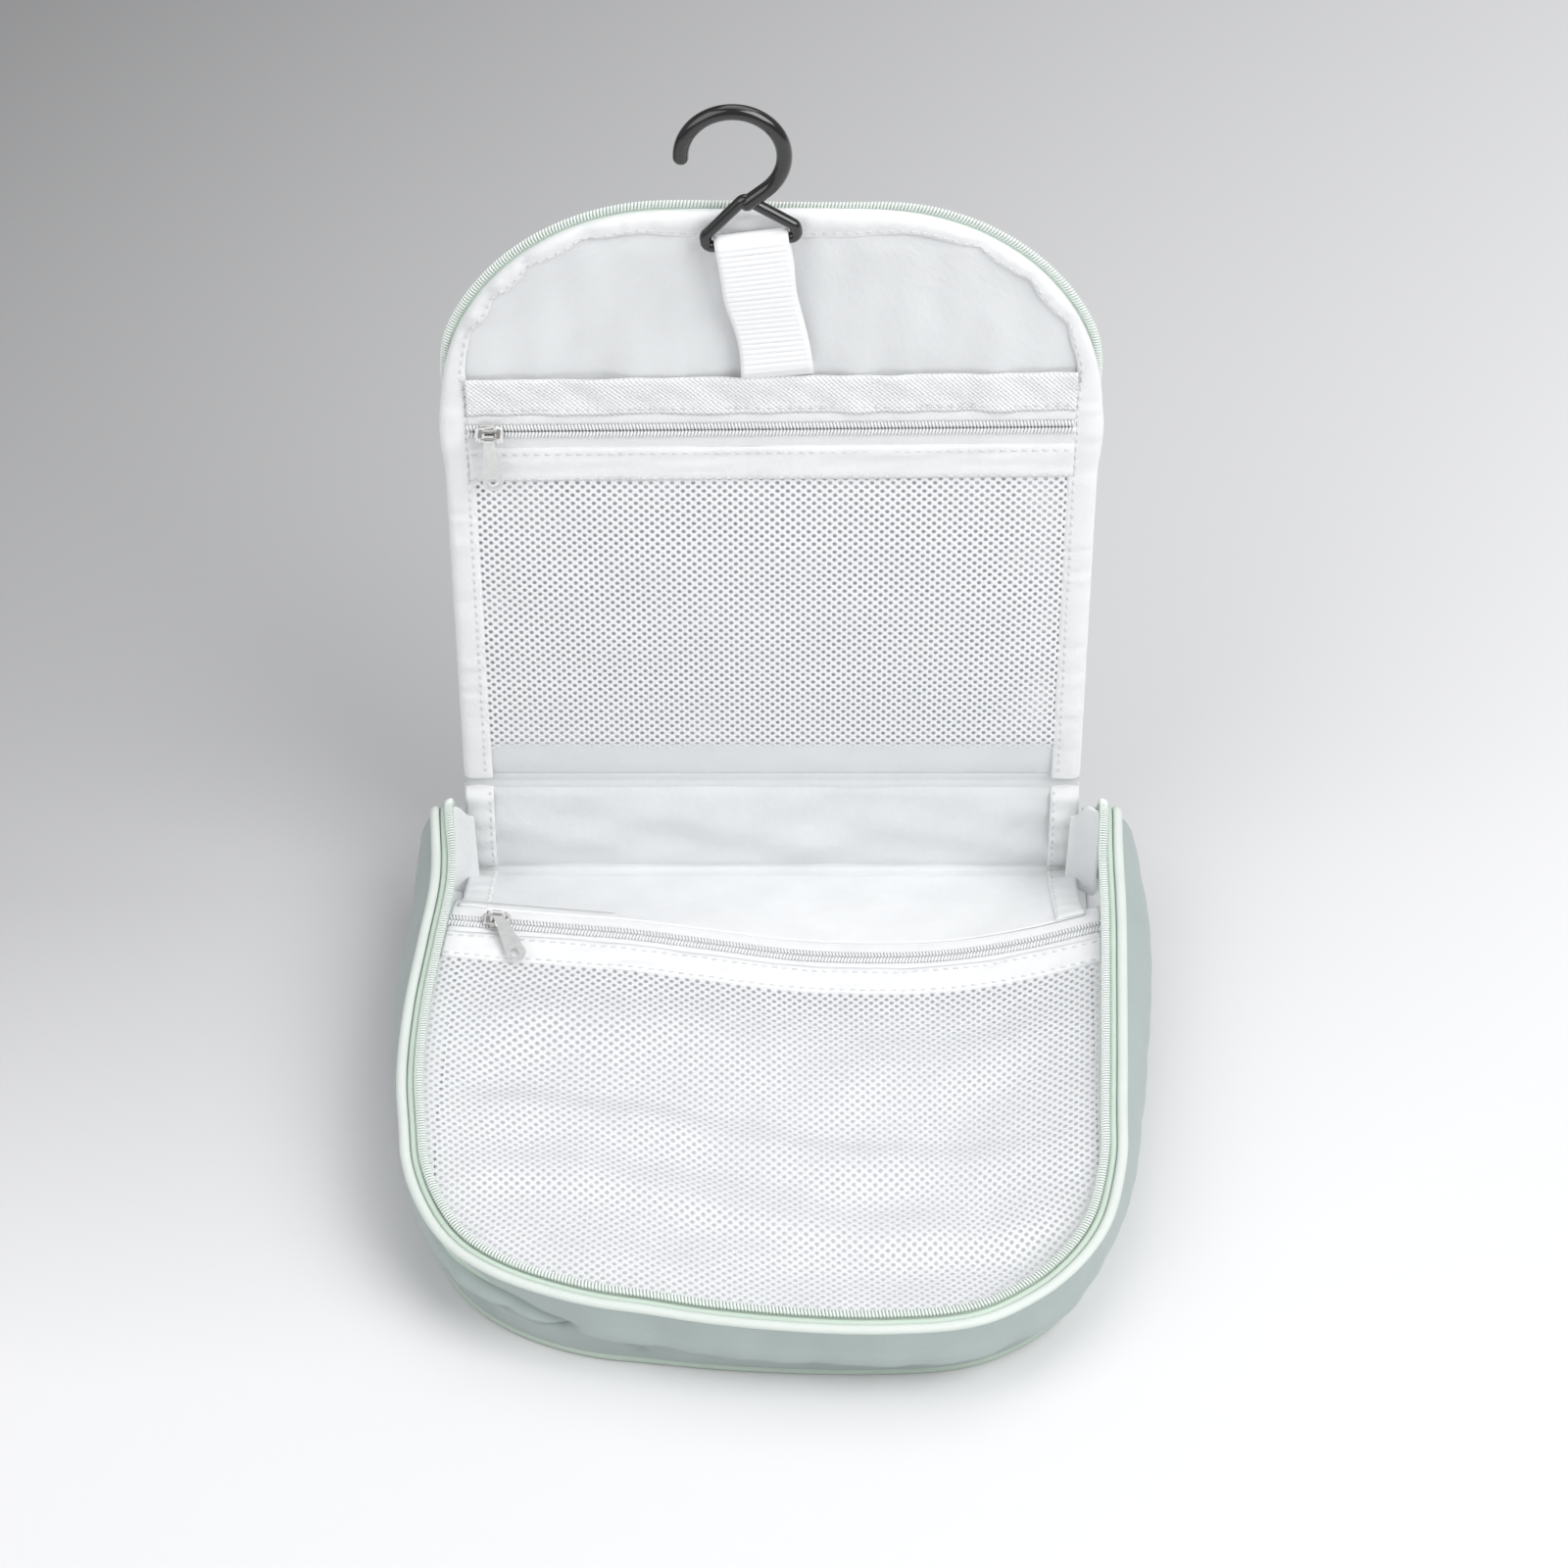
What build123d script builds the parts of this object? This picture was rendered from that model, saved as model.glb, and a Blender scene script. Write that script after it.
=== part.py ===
from build123d import *
import math
import os

# Hanging toiletry bag, open: a D-shaped case lies on its base, its rear spine stands up, the lid
# stands on the spine, and a hook hangs in a webbing loop on the lid. Millimetres, +Z up,
# +X to the right, -Y to the front. The origin is under the middle of the case, on its base.

os.makedirs("parts", exist_ok=True)

# ---- driving dimensions ----
case_length = 252.0  # back of the spine to the front of the rim
rim_half_width = 124.0
bulge_half_width = 124.5
base_half_width = 116.0
rim_rear_height = 42.0
rim_front_height = 30.0
bulge_height = 14.0
corner_radius = 78.0
front_crown = 6.0
base_setback = 8.0  # how far the base's front edge lies behind the rim's
panel_half_width = 111.0  # lid and spine panels
lid_reach = 246.0  # fold line to the top of the lid panel
lid_crown = 4.0
fold_height = 47.0  # lid fold above the table
base_fold_height = 1.2
pocket_zip_reach = 159.5  # fold line to the pocket's zip
cover_zip_y = 61.0
strap_width = 24.4
strap_length = 59.8
strap_lean = 8.0  # degrees, to the left
hook_radius = 16.7
hook_tube = 5.2
bar_tube = 4.0

# ---- fabric and board thicknesses ----
outer_fabric = 1.4
lining = 1.0
tape = 0.6
coil = 1.6
net = 0.6
slot = 0.9  # space between the two coils of a closed zip, for the slider's web
half_coil = 2.0

rear_y = case_length / 2
front_y = -rear_y
fold_y = rear_y - 1.0  # both fold lines lie 1 mm inside the spine's back
gusset_rear_y = fold_y - 10.0
fold_roll = 1.2  # radius of the fabric roll on a fold line

rim_slope = math.atan((rim_rear_height - rim_front_height) / (gusset_rear_y - front_y))
rim_mid_height = rim_front_height - front_y * math.tan(rim_slope)
rim_plane = Plane(
    origin=(0, 0, rim_mid_height),
    x_dir=(1, 0, 0),
    z_dir=(0, -math.sin(rim_slope), math.cos(rim_slope)),
)
lid_plane = Plane(origin=(0, fold_y, fold_height), x_dir=(1, 0, 0), z_dir=(0, -1, 0))


def save(shape, name):
    """Writes one sub-part to its own file."""
    shape.label = name
    export_step(shape, f"parts/{name}.step")


def block(x0, x1, y0, y1, z0, z1):
    """A box from its lowest and highest corners."""
    size = (x1 - x0, y1 - y0, z1 - z0)
    return Pos(x0, y0, z0) * Box(*size, align=(Align.MIN, Align.MIN, Align.MIN))


def d_shape(half_width, straight_y, round_y, radius, crown):
    """A D in the XY plane: straight at straight_y, rounded corners and a shallow arc at round_y."""
    side = math.copysign(crown, straight_y - round_y)
    a, b = (-half_width, straight_y), (-half_width, round_y + side)
    c, d = (half_width, round_y + side), (half_width, straight_y)
    outline = Line(d, a) + Line(a, b) + ThreePointArc(b, (0, round_y), c) + Line(c, d)
    face = make_face(outline)
    ends = sorted(face.vertices(), key=lambda v: abs(v.Y - round_y))[:2]
    return fillet(ends, radius)


def rim_shape(inset, extend=0.0):
    """The rim's outline, moved inward, in the rim plane's own coordinates."""
    return d_shape(
        rim_half_width - inset,
        gusset_rear_y + extend,
        front_y / math.cos(rim_slope) + 0.1 + inset,
        corner_radius - inset,
        front_crown,
    )


def rim_band(inset_out, inset_in, low, high):
    """A band along the rim, open at the rear, between two insets and two heights above the rim."""
    outline = rim_shape(inset_out) - rim_shape(inset_in, 1.0)
    return rim_plane.location * Pos(0, 0, low) * extrude(outline, high - low)


def case_bowl(inset, extend=0.0):
    """The case's body from base to rim, moved inward: base, bulge and rim outlines in a ruled loft."""
    base = d_shape(
        base_half_width - inset,
        gusset_rear_y + extend,
        front_y + base_setback + inset,
        corner_radius - base_setback - inset,
        front_crown,
    )
    bulge = d_shape(
        bulge_half_width - inset,
        gusset_rear_y + extend,
        front_y + 2.0 + inset,
        corner_radius - inset,
        front_crown,
    )
    sections = [base, Pos(0, 0, bulge_height) * bulge, rim_plane * rim_shape(inset, extend)]
    return loft(sections, ruled=True)


def fold_bar(height):
    """The fabric roll along a fold line, from one edge of the panels to the other."""
    bar = Rotation(0, 90, 0) * Cylinder(fold_roll, 2 * panel_half_width)
    return Pos(0, fold_y, height) * bar


# ---- case: base ----
base_layers = {"base_panel": (0.0, 1.2), "base_board": (1.2, 2.4), "base_lining": (2.4, 3.2)}
base_inset = outer_fabric + lining
seam = 1.4  # the base layers lie this far inside the gusset's lining
base_rear_y = fold_y - 3.0
piping_low, piping_high, piping_proud = 0.4, 3.2, 0.6


def base_outline(inset, straight_y, radius_inset):
    """The base's D, moved inward by inset."""
    return d_shape(
        base_half_width - inset,
        straight_y,
        front_y + base_setback + inset,
        corner_radius - base_setback - radius_inset,
        front_crown,
    )


for name, (low, high) in base_layers.items():
    outline = base_outline(base_inset + seam, base_rear_y, base_inset)
    layer = extrude(Pos(0, 0, low) * outline, high - low)
    if name == "base_panel":
        layer += fold_bar(base_fold_height)
        layer += block(-panel_half_width, panel_half_width, base_rear_y, fold_y, low, high)
    save(layer, name)

piping_ring = base_outline(-piping_proud, gusset_rear_y, 0.0)
piping_ring -= base_outline(base_inset + seam, gusset_rear_y + 1.0, base_inset)
save(extrude(Pos(0, 0, piping_low) * piping_ring, piping_high - piping_low), "base_piping")

# ---- case: gusset and rim ----
beyond = 1.6 * case_length / 2  # clear of the whole case
above_piping = block(-beyond, beyond, -beyond, beyond, piping_high, beyond)
before_gusset_rear = block(-beyond, beyond, -beyond, gusset_rear_y, 0, beyond)
overrun = 5.0
inside_linings = case_bowl(base_inset, overrun)
middle = case_bowl(outer_fabric, overrun)
save((case_bowl(0.0) - middle) & above_piping, "gusset_outer")
save((middle - inside_linings) & above_piping & before_gusset_rear, "gusset_lining")
piping_inset, rim_tape_inset, coil_start, rim_inner = 3.4, 8.6, 5.8, 9.0
tape_top = 0.7
save(rim_band(0.0, piping_inset, 0.0, 1.8), "rim_piping")
save(rim_band(piping_inset, rim_tape_inset, 0.0, tape_top), "rim_zip_tape")
save(rim_band(coil_start, rim_inner, tape_top, 2.9), "rim_zip_coil")

# ---- case: net cover, which sags between the rim's two sides ----
cover_x = (-115.0, -38.0, 8.0, 62.0, 115.0)
zip_line_z = (35.8, 27.5, 18.0, 18.0, 33.0)
cover_stations = {
    43.0: zip_line_z,
    -30.0: (33.6, 24.0, 20.0, 20.0, 32.6),
    -90.0: (30.8, 26.0, 24.0, 24.0, 30.0),
    front_y + 6.0: (29.4, 28.6, 28.2, 28.2, 29.2),
}


def sag_height(x):
    """Height of the cover's zip line at x, along its straight runs."""
    for x0, x1, z0, z1 in zip(cover_x, cover_x[1:], zip_line_z, zip_line_z[1:]):
        if x0 <= x <= x1:
            return z0 + (z1 - z0) * (x - x0) / (x1 - x0)
    return zip_line_z[-1]


def strip_section(y, points, low, high):
    """A thin closed section in a plane of constant y: the points raised by low and by high."""
    upper = [(x, y, z + high) for x, z in points]
    lower = [(x, y, z + low) for x, z in reversed(points)]
    return make_face(Polyline(*upper, *lower, close=True))


def zip_band(y0, y1, low, high):
    """A band along the cover's zip line, from y0 to y1."""
    section = strip_section(y0, list(zip(cover_x, zip_line_z)), low, high)
    return extrude(section, y1 - y0, dir=(0, 1, 0))


cover_sections = [
    strip_section(y, list(zip(cover_x, heights)), -net / 2, net / 2)
    for y, heights in cover_stations.items()
]
net_inset = rim_inner + 0.3
inside_rim = rim_plane.location * Pos(0, 0, -beyond) * extrude(rim_shape(net_inset, 1.0), 2 * beyond)
save(loft(cover_sections, ruled=True) & inside_rim, "cover_net")

hem_front, hem_rear, tape_rear = 43.0, 54.5, 68.5
save(zip_band(hem_front, hem_rear, -0.6, 0.6), "cover_hem")
save(zip_band(hem_rear, cover_zip_y - slot / 2, -tape / 2, tape / 2), "cover_zip_tape_front")
save(zip_band(cover_zip_y + slot / 2, tape_rear, -tape / 2, tape / 2), "cover_zip_tape_rear")
for side, name in ((-1, "front"), (1, "rear")):
    near, far = sorted((cover_zip_y + side * slot / 2, cover_zip_y + side * (slot / 2 + half_coil)))
    save(zip_band(near, far, tape / 2, tape / 2 + coil), f"cover_zip_coil_{name}")

flap_rear_y, flap_rear_z = fold_y - 3.5, 4.2
edge_width = 10.0


def flap(x0, x1, low, high):
    """Part of the sloping flap between the base fold and the cover's zip, from x0 to x1."""
    inner = [x for x in cover_x if x0 < x < x1]
    xs = [x0, *inner, x1]
    rear = strip_section(flap_rear_y, [(x, flap_rear_z) for x in xs], low, high)
    front = strip_section(tape_rear, [(x, sag_height(x)) for x in xs], low, high)
    return loft([front, rear], ruled=True)


flap_edge = panel_half_width - edge_width
save(flap(-panel_half_width, panel_half_width, -0.4, 0.3), "rear_flap")
save(flap(-panel_half_width, -flap_edge, 0.3, 1.1), "rear_flap_binding_left")
save(flap(flap_edge, panel_half_width, 0.3, 1.1), "rear_flap_binding_right")

# ---- spine ----
spine_low, spine_high = base_fold_height + 1.8, fold_height - 1.5
spine_back, spine_middle, spine_front = fold_y + 1.0, fold_y - 0.4, fold_y - 1.4
outer_panel = block(-panel_half_width, panel_half_width, spine_middle, spine_back, spine_low, spine_high)
neck = block(-panel_half_width, panel_half_width, spine_middle, fold_y + 0.4, spine_high, fold_height)
save(outer_panel + neck + fold_bar(fold_height), "spine_outer")
inner_panel = block(-panel_half_width, panel_half_width, spine_front, spine_middle, spine_low, spine_high)
save(inner_panel, "spine_lining")
binding_high = fold_height - 2.8  # clear of the lid's lining when the lid is closed
for side, name in ((-1, "left"), (1, "right")):
    x0, x1 = sorted((side * panel_half_width, side * flap_edge))
    save(block(x0, x1, spine_front - 1.0, spine_front, spine_low, binding_high), f"spine_binding_{name}")

# ---- lid: layers are measured forward from the fold line ----
lid_start = 2.0


def lid_shape(grow, start=lid_start):
    """The lid's outline in the lid plane, grown outward by grow."""
    return d_shape(panel_half_width + grow, start, lid_reach + grow, corner_radius + grow, lid_crown)


def lid_slab(outline, low, high):
    """An outline drawn in the lid plane, made solid from low to high in front of the fold line."""
    return lid_plane.location * Pos(0, 0, low) * extrude(outline, high - low)


def lid_strip(half_width, s0, s1, low, high):
    """A straight strip across the lid, from s0 to s1 above the fold line."""
    outline = Pos(0, (s0 + s1) / 2) * Rectangle(2 * half_width, s1 - s0)
    return lid_slab(outline, low, high)


lining_face = 2.5
save(lid_slab(lid_shape(0.0), -1.0, 0.2), "lid_outer")
save(lid_slab(lid_shape(0.0), 0.2, 1.5), "lid_board")
save(lid_slab(lid_shape(0.0), 1.5, lining_face), "lid_lining")
binding_inner = lid_shape(-edge_width, lid_start - 1.0)
save(lid_slab(lid_shape(0.0, 3.0) - binding_inner, lining_face, 4.6), "lid_binding")
save(lid_slab(lid_shape(1.6, 6.0) - lid_shape(0.0, 5.0), -0.4, 0.3), "lid_zip_tape")
save(lid_slab(lid_shape(3.4, 6.0) - lid_shape(1.6, 5.0), -0.9, 0.9), "lid_zip_coil")

# ---- lid: net pocket with its zip ----
pocket_half_width = flap_edge
tape_mid = 4.1  # middle of the pocket's zip tape, in front of the fold line
tape_low, tape_high = tape_mid - tape / 2, tape_mid + tape / 2
zip_low, zip_high = pocket_zip_reach - slot / 2, pocket_zip_reach + slot / 2
net_bottom, net_top, lower_hem_top, upper_hem_low, upper_hem_top = 16.0, 138.0, 151.0, 167.0, 180.0
net_plate = lid_strip(pocket_half_width, net_bottom, net_top, tape_low, tape_high)
net_foot = lid_strip(pocket_half_width, net_bottom, net_bottom + 1.5, lining_face, tape_low)
save(net_plate + net_foot, "pocket_net")
save(lid_strip(pocket_half_width, net_top, lower_hem_top, tape_mid - 0.5, tape_mid + 0.5), "pocket_lower_hem")
save(lid_strip(pocket_half_width, lower_hem_top, zip_low, tape_low, tape_high), "pocket_zip_tape_lower")
save(lid_strip(pocket_half_width, zip_high, upper_hem_low, tape_low, tape_high), "pocket_zip_tape_upper")
upper_hem = lid_strip(pocket_half_width, upper_hem_low, upper_hem_top, lining_face, 4.5)
save(upper_hem & lid_slab(binding_inner, lining_face, 4.6), "pocket_upper_hem")
for low, high, name in (
    (zip_low - half_coil, zip_low, "lower"),
    (zip_high, zip_high + half_coil, "upper"),
):
    save(lid_strip(pocket_half_width, low, high, tape_high, tape_high + coil), f"pocket_zip_coil_{name}")

# ---- zip sliders: local X runs along the zip, Z stands off it, and the puller points to -Y ----
plate_half_length, plate_half_width = 4.8, 3.8
top_plate_low, top_plate = 2.2, 0.9
back_plate_low, back_plate = -1.3, 0.7
bail_height, bail_radius, bail_reach = 5.2, 0.7, 3.1
lip_inner, lip_outer = 2.9, 3.5
puller_length, puller_thickness = 22.0, 1.0


def plate_outline():
    """A slider plate: wide at its mouth, narrower at its tail."""
    mouth, tail = plate_half_width, plate_half_width - 1.2
    points = [
        (-plate_half_length, -tail),
        (plate_half_length - 2.5, -mouth),
        (plate_half_length, -mouth + 1.0),
        (plate_half_length, mouth - 1.0),
        (plate_half_length - 2.5, mouth),
        (-plate_half_length, tail),
    ]
    face = make_face(Polyline(*points, close=True))
    return fillet(face.vertices(), 0.8)


def make_slider(bail_turn=0.0):
    """A zip slider: two plates, the web between them, side lips and a bail, turned by bail_turn."""
    top = Pos(0, 0, top_plate_low) * extrude(plate_outline(), top_plate)
    crown = top.faces().sort_by(Axis.Z)[-1]
    top = fillet(crown.edges(), 0.35)
    back = Pos(0, 0, back_plate_low) * extrude(plate_outline(), back_plate)
    web = block(1.0, plate_half_length - 0.4, -0.25, 0.25, back_plate_low + back_plate, top_plate_low)
    body = top + back + web
    for side in (-1, 1):
        y0, y1 = sorted((side * lip_inner, side * lip_outer))
        body += block(-2.5, 2.0, y0, y1, 1.2, top_plate_low)
    deck = top_plate_low + top_plate
    bail = Pos(0, 0, bail_height) * Rotation(0, 90, 0) * Cylinder(bail_radius, 2 * bail_reach)
    for x in (-bail_reach, bail_reach):
        bail += Pos(x, 0, (deck + bail_height) / 2) * Box(1.4, 1.6, bail_height - deck)
        bail += Pos(x, 0, bail_height) * Rotation(90, 0, 0) * Cylinder(bail_radius, 1.6)
    return body + Rotation(0, 0, bail_turn) * bail


def make_puller(lean, droop):
    """A puller: an eye on the bail, a tapered plate with a ring hole, leaning in its own plane."""
    eye_width, neck_width, end_width = 3.2, 3.6, 7.0
    ring_y = -puller_length + end_width / 2
    plate = make_face(
        Polyline(
            (-neck_width / 2, -0.6), (neck_width / 2, -0.6),
            (end_width / 2, ring_y), (-end_width / 2, ring_y), close=True,
        )
    )
    outline = plate + Pos(0, ring_y) * Circle(end_width / 2)
    ring_hole = Pos(0, ring_y - 0.2) * Circle(end_width / 2 - 1.4)
    blade = Pos(0, 0, -puller_thickness / 2) * extrude(outline - ring_hole, puller_thickness)
    eye = Rotation(0, 90, 0) * Cylinder(bail_radius + 0.85, eye_width)
    hole = Rotation(0, 90, 0) * Cylinder(bail_radius + 0.06, 3 * eye_width)
    leaning = Rotation(0, 0, lean) * blade
    return Pos(0, 0, bail_height) * Rotation(droop, 0, 0) * (leaning + eye - hole)


pocket_slider_x, cover_slider_x = -95.4, -97.5
cover_slope = math.degrees(math.atan2(zip_line_z[1] - zip_line_z[0], cover_x[1] - cover_x[0]))
pocket_place = (
    Pos(pocket_slider_x, fold_y - tape_mid, fold_height + pocket_zip_reach) * Rotation(90, 0, 0)
)
cover_place = Pos(cover_slider_x, cover_zip_y, sag_height(cover_slider_x)) * Rotation(0, -cover_slope, 0)
save(pocket_place * make_slider(), "pocket_slider")
save(pocket_place * make_puller(2.0, 2.0), "pocket_puller")
save(cover_place * make_slider(), "cover_slider")
save(cover_place * make_puller(24.0, 7.0), "cover_puller")

# ---- closed ends of the main zip, behind the ends of the gusset, with the parked sliders ----
end_x, end_y, end_low, end_high, slider_z = 116.6, gusset_rear_y + 2.6, 6.0, 40.0, 25.0
half_end, stop_height = 4.0, 2.0


def zip_end(side):
    """A closed stretch of the main zip on one side: two tapes with coils, joined by a bottom stop."""
    tape_face = end_y + tape / 2
    coil_face = tape_face + coil
    piece = block(end_x - 3.0, end_x + 3.0, end_y - tape / 2, coil_face, end_low - stop_height, end_low)
    for near in (-1, 1):
        x0, x1 = sorted((end_x + near * slot / 2, end_x + near * half_end))
        c0, c1 = sorted((end_x + near * slot / 2, end_x + near * (slot / 2 + half_coil)))
        piece += block(x0, x1, end_y - tape / 2, tape_face, end_low, end_high)
        piece += block(c0, c1, tape_face, coil_face, end_low, end_high)
    tab_x = bulge_half_width - outer_fabric
    piece += block(end_x + half_end, tab_x, gusset_rear_y, tape_face, bulge_height + 1.0, end_high - 4.0)
    return piece if side > 0 else mirror(piece, Plane.YZ)


for side, name in ((-1, "left"), (1, "right")):
    save(zip_end(side), f"main_zip_end_{name}")
    place = Location(Plane(origin=(side * end_x, end_y, slider_z), x_dir=(0, 0, 1), z_dir=(0, 1, 0)))
    save(place * make_slider(90.0), f"main_slider_{name}")
    save(place * Rotation(0, 0, -90) * make_puller(0.0, 0.0), f"main_puller_{name}")

# ---- webbing strap and hook: local X runs along the hook's bar, Z up the strap ----
seam_x, seam_reach, seam_front, bar_front = 2.2, 179.5, 6.6, 7.8
loop_inner, loop_outer, ply = 2.08, 3.2, 1.1
bar_y = seam_front - bar_front
strap_place = Pos(seam_x, fold_y - seam_front, fold_height + seam_reach) * Rotation(0, -strap_lean, 0)


def loop_section(radius, foot_half, foot_z):
    """A teardrop in the YZ plane: a circle round the bar that narrows down to foot_z."""
    centre = (bar_y, strap_length)
    foot_y = bar_y * foot_z / strap_length
    sides = make_face(
        Polyline(
            (bar_y - radius, strap_length), (foot_y - foot_half, foot_z),
            (foot_y + foot_half, foot_z), (bar_y + radius, strap_length), close=True,
        )
    )
    return sides + Pos(*centre) * Circle(radius)


section = loop_section(loop_outer, ply, 0.0) - loop_section(loop_inner, 0.05, 24.0)
seam_roll = Circle(ply)
strap = extrude(Plane.YZ * (section + seam_roll), strap_width / 2, both=True)
save(strap_place * strap, "hanging_strap")


def tube_along(path, radius):
    """A round bar along a path of lines and arcs."""
    start = path @ 0
    return sweep(Plane(origin=start, z_dir=path % 0) * Circle(radius), path=path)


def make_hook():
    """The hook: a rounded triangle that holds the webbing, and an open round hook above it."""
    half_bar, shoulder_z, apex_z = 14.9, 4.4, 17.0
    corners = [(-half_bar, 0), (half_bar, 0), (half_bar, shoulder_z), (0, apex_z), (-half_bar, shoulder_z)]
    frame_path = Plane.XZ * FilletPolyline(*corners, radius=2.1, close=True)
    frame_bar = tube_along(frame_path, bar_tube / 2)
    centre_x, centre_z, tip_angle, end_angle = -1.5, 33.4, 173.0, -58.0
    arc = CenterArc((centre_x, centre_z), hook_radius, tip_angle, end_angle - tip_angle)
    stem_end = arc @ 1 + (arc % 1) * 8.0
    stem = Line(arc @ 1, stem_end)
    path = Plane.XZ * (arc + stem)
    hook = tube_along(path, hook_tube / 2)
    for point in (arc @ 0, stem_end):
        hook += Plane.XZ * Pos(point.X, point.Y) * Sphere(hook_tube / 2)
    return Pos(0, bar_y, strap_length) * (frame_bar + hook)


save(strap_place * make_hook(), "hook")
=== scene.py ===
import math

import bmesh
import bpy
import numpy as np
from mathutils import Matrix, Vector


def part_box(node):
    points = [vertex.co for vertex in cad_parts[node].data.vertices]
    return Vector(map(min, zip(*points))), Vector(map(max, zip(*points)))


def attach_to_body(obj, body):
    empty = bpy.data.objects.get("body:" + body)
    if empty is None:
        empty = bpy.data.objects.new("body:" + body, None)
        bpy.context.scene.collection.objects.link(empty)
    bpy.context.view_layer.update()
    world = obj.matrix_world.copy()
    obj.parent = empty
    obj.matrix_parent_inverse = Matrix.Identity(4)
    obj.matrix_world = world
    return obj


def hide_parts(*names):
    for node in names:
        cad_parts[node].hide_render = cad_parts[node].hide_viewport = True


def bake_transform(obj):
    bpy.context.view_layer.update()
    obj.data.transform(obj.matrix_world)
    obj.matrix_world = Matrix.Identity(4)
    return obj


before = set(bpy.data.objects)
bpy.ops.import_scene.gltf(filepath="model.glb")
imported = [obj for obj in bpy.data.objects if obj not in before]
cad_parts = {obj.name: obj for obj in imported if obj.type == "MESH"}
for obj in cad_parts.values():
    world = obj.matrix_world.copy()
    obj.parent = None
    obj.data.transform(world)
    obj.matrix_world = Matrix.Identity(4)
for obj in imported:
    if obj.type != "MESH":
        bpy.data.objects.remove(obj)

bl_info = {
    "name": "Hanging Toiletry Bag",
    "version": (1, 0, 0),
    "blender": (4, 5, 0),
    "location": "3D View > Sidebar > Toiletry Bag",
    "description": "Sews an open hanging toiletry bag round its packed frame",
    "category": "Add Mesh",
}

MM = 0.001
SIDES = ((-1.0, "left"), (1.0, "right"))
ACROSS, UP, FORWARD = (1.0, 0.0, 0.0), (0.0, 0.0, 1.0), (0.0, -1.0, 0.0)
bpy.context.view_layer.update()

# ---- the bag's own sizes, millimetres ----
REAR_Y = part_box("spine_outer")[1].y / MM
FRONT_Y = -REAR_Y
FOLD_Y = REAR_Y - 1.0
FOLD_HEIGHT = 47.0
RIM_HALF_WIDTH, RIM_RADIUS, CROWN = 124.0, 78.0, 6.0
RIM_REAR, RIM_FRONT, GUSSET_REAR_Y = 42.0, 30.0, FOLD_Y - 10.0
RIM_SLOPE = math.atan((RIM_REAR - RIM_FRONT) / (GUSSET_REAR_Y - FRONT_Y))
RIM_MID = RIM_FRONT - FRONT_Y * math.tan(RIM_SLOPE)
RIM_UP = np.array([0.0, -math.sin(RIM_SLOPE), math.cos(RIM_SLOPE)])
RIM_BACK = np.array([0.0, math.cos(RIM_SLOPE), math.sin(RIM_SLOPE)])
RIM_ROUND = FRONT_Y / math.cos(RIM_SLOPE) + 0.1
BASE_HALF_WIDTH, BASE_ROUND, BASE_RADIUS, BASE_TOP = 116.0, FRONT_Y + 8.0, 70.0, 3.2
BASE_PULL, GUSSET_LENGTH, LEVEL_MM = 0.55, 650.0, 45.0
EAR_RADIUS, EAR_DROP, EAR_ROLL = 5.0, 14.0, math.radians(24.0)
PANEL_HALF_WIDTH, LID_START, LID_REACH, LID_RADIUS, LID_CROWN = 111.0, 2.0, 246.0, 78.0, 4.0
EDGE_WIDTH = 10.0
COVER_ZIP_Y, CHAIN_HALF = 61.0, 1.45
SMALL_COIL = (0.95, 0.36, 0.44)
FLAP_START_Y, FLAP_END_Y = 69.2, FOLD_Y - 3.0
COVER_X = (-115.0, -76.0, -50.0, -20.0, 8.0, 35.0, 62.0, 90.0, 115.0)
ZIP_LINE_Z = (35.8, 31.6, 28.8, 23.6, 18.8, 17.4, 18.6, 24.6, 33.0)
COVER_STATIONS = (
    (43.0, ZIP_LINE_Z),
    (-30.0, (33.6, 28.6, 25.4, 21.8, 20.0, 19.6, 20.4, 25.4, 32.6)),
    (-90.0, (30.8, 28.0, 26.6, 25.0, 24.0, 23.7, 24.0, 26.4, 30.0)),
    (-124.0, (29.4, 29.0, 28.8, 28.4, 28.2, 28.2, 28.2, 28.6, 29.2)),
)
POCKET_ZIP_REACH = 159.5
POCKET_TILT = math.tan(math.radians(0.6))
POCKET_PIVOT_X = -95.4
TAPE_MID = 4.1
SEAM_X, SEAM_REACH, SEAM_FRONT, BAR_FRONT = 2.2, 179.5, 6.6, 7.8
STRAP_LENGTH, STRAP_WIDTH, STRAP_LEAN = 59.8, 24.4, math.radians(8.0)
ZIP_END_X, ZIP_END_Y = 116.6, GUSSET_REAR_Y + 2.6
POCKET_HALF_WIDTH = PANEL_HALF_WIDTH - EDGE_WIDTH
NET_PROUD, NET_SUNK = 0.14, -0.06

# creases at the case's front left: start and end as (x, level), width in levels, depth
TUCKS = (
    ((-114, 0.98), (-66, 0.54), 0.08, 3.6),
    ((-118, 0.58), (-68, 0.46), 0.06, 2.3),
    ((-104, 0.25), (-86, 0.6), 0.08, 1.9),
    ((-46, 0.44), (-42, 0.2), 0.06, 1.8),
    ((-102, 0.68), (-72, 0.52), 0.09, -1.2),
)
# pinches of the lid's edge: x and half width
PINCHES = ((-104, 2.2), (-95, 2.6), (-82, 3.4), (-63, 4.5), (70, 4.0), (88, 3.2), (102, 2.4))
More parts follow.
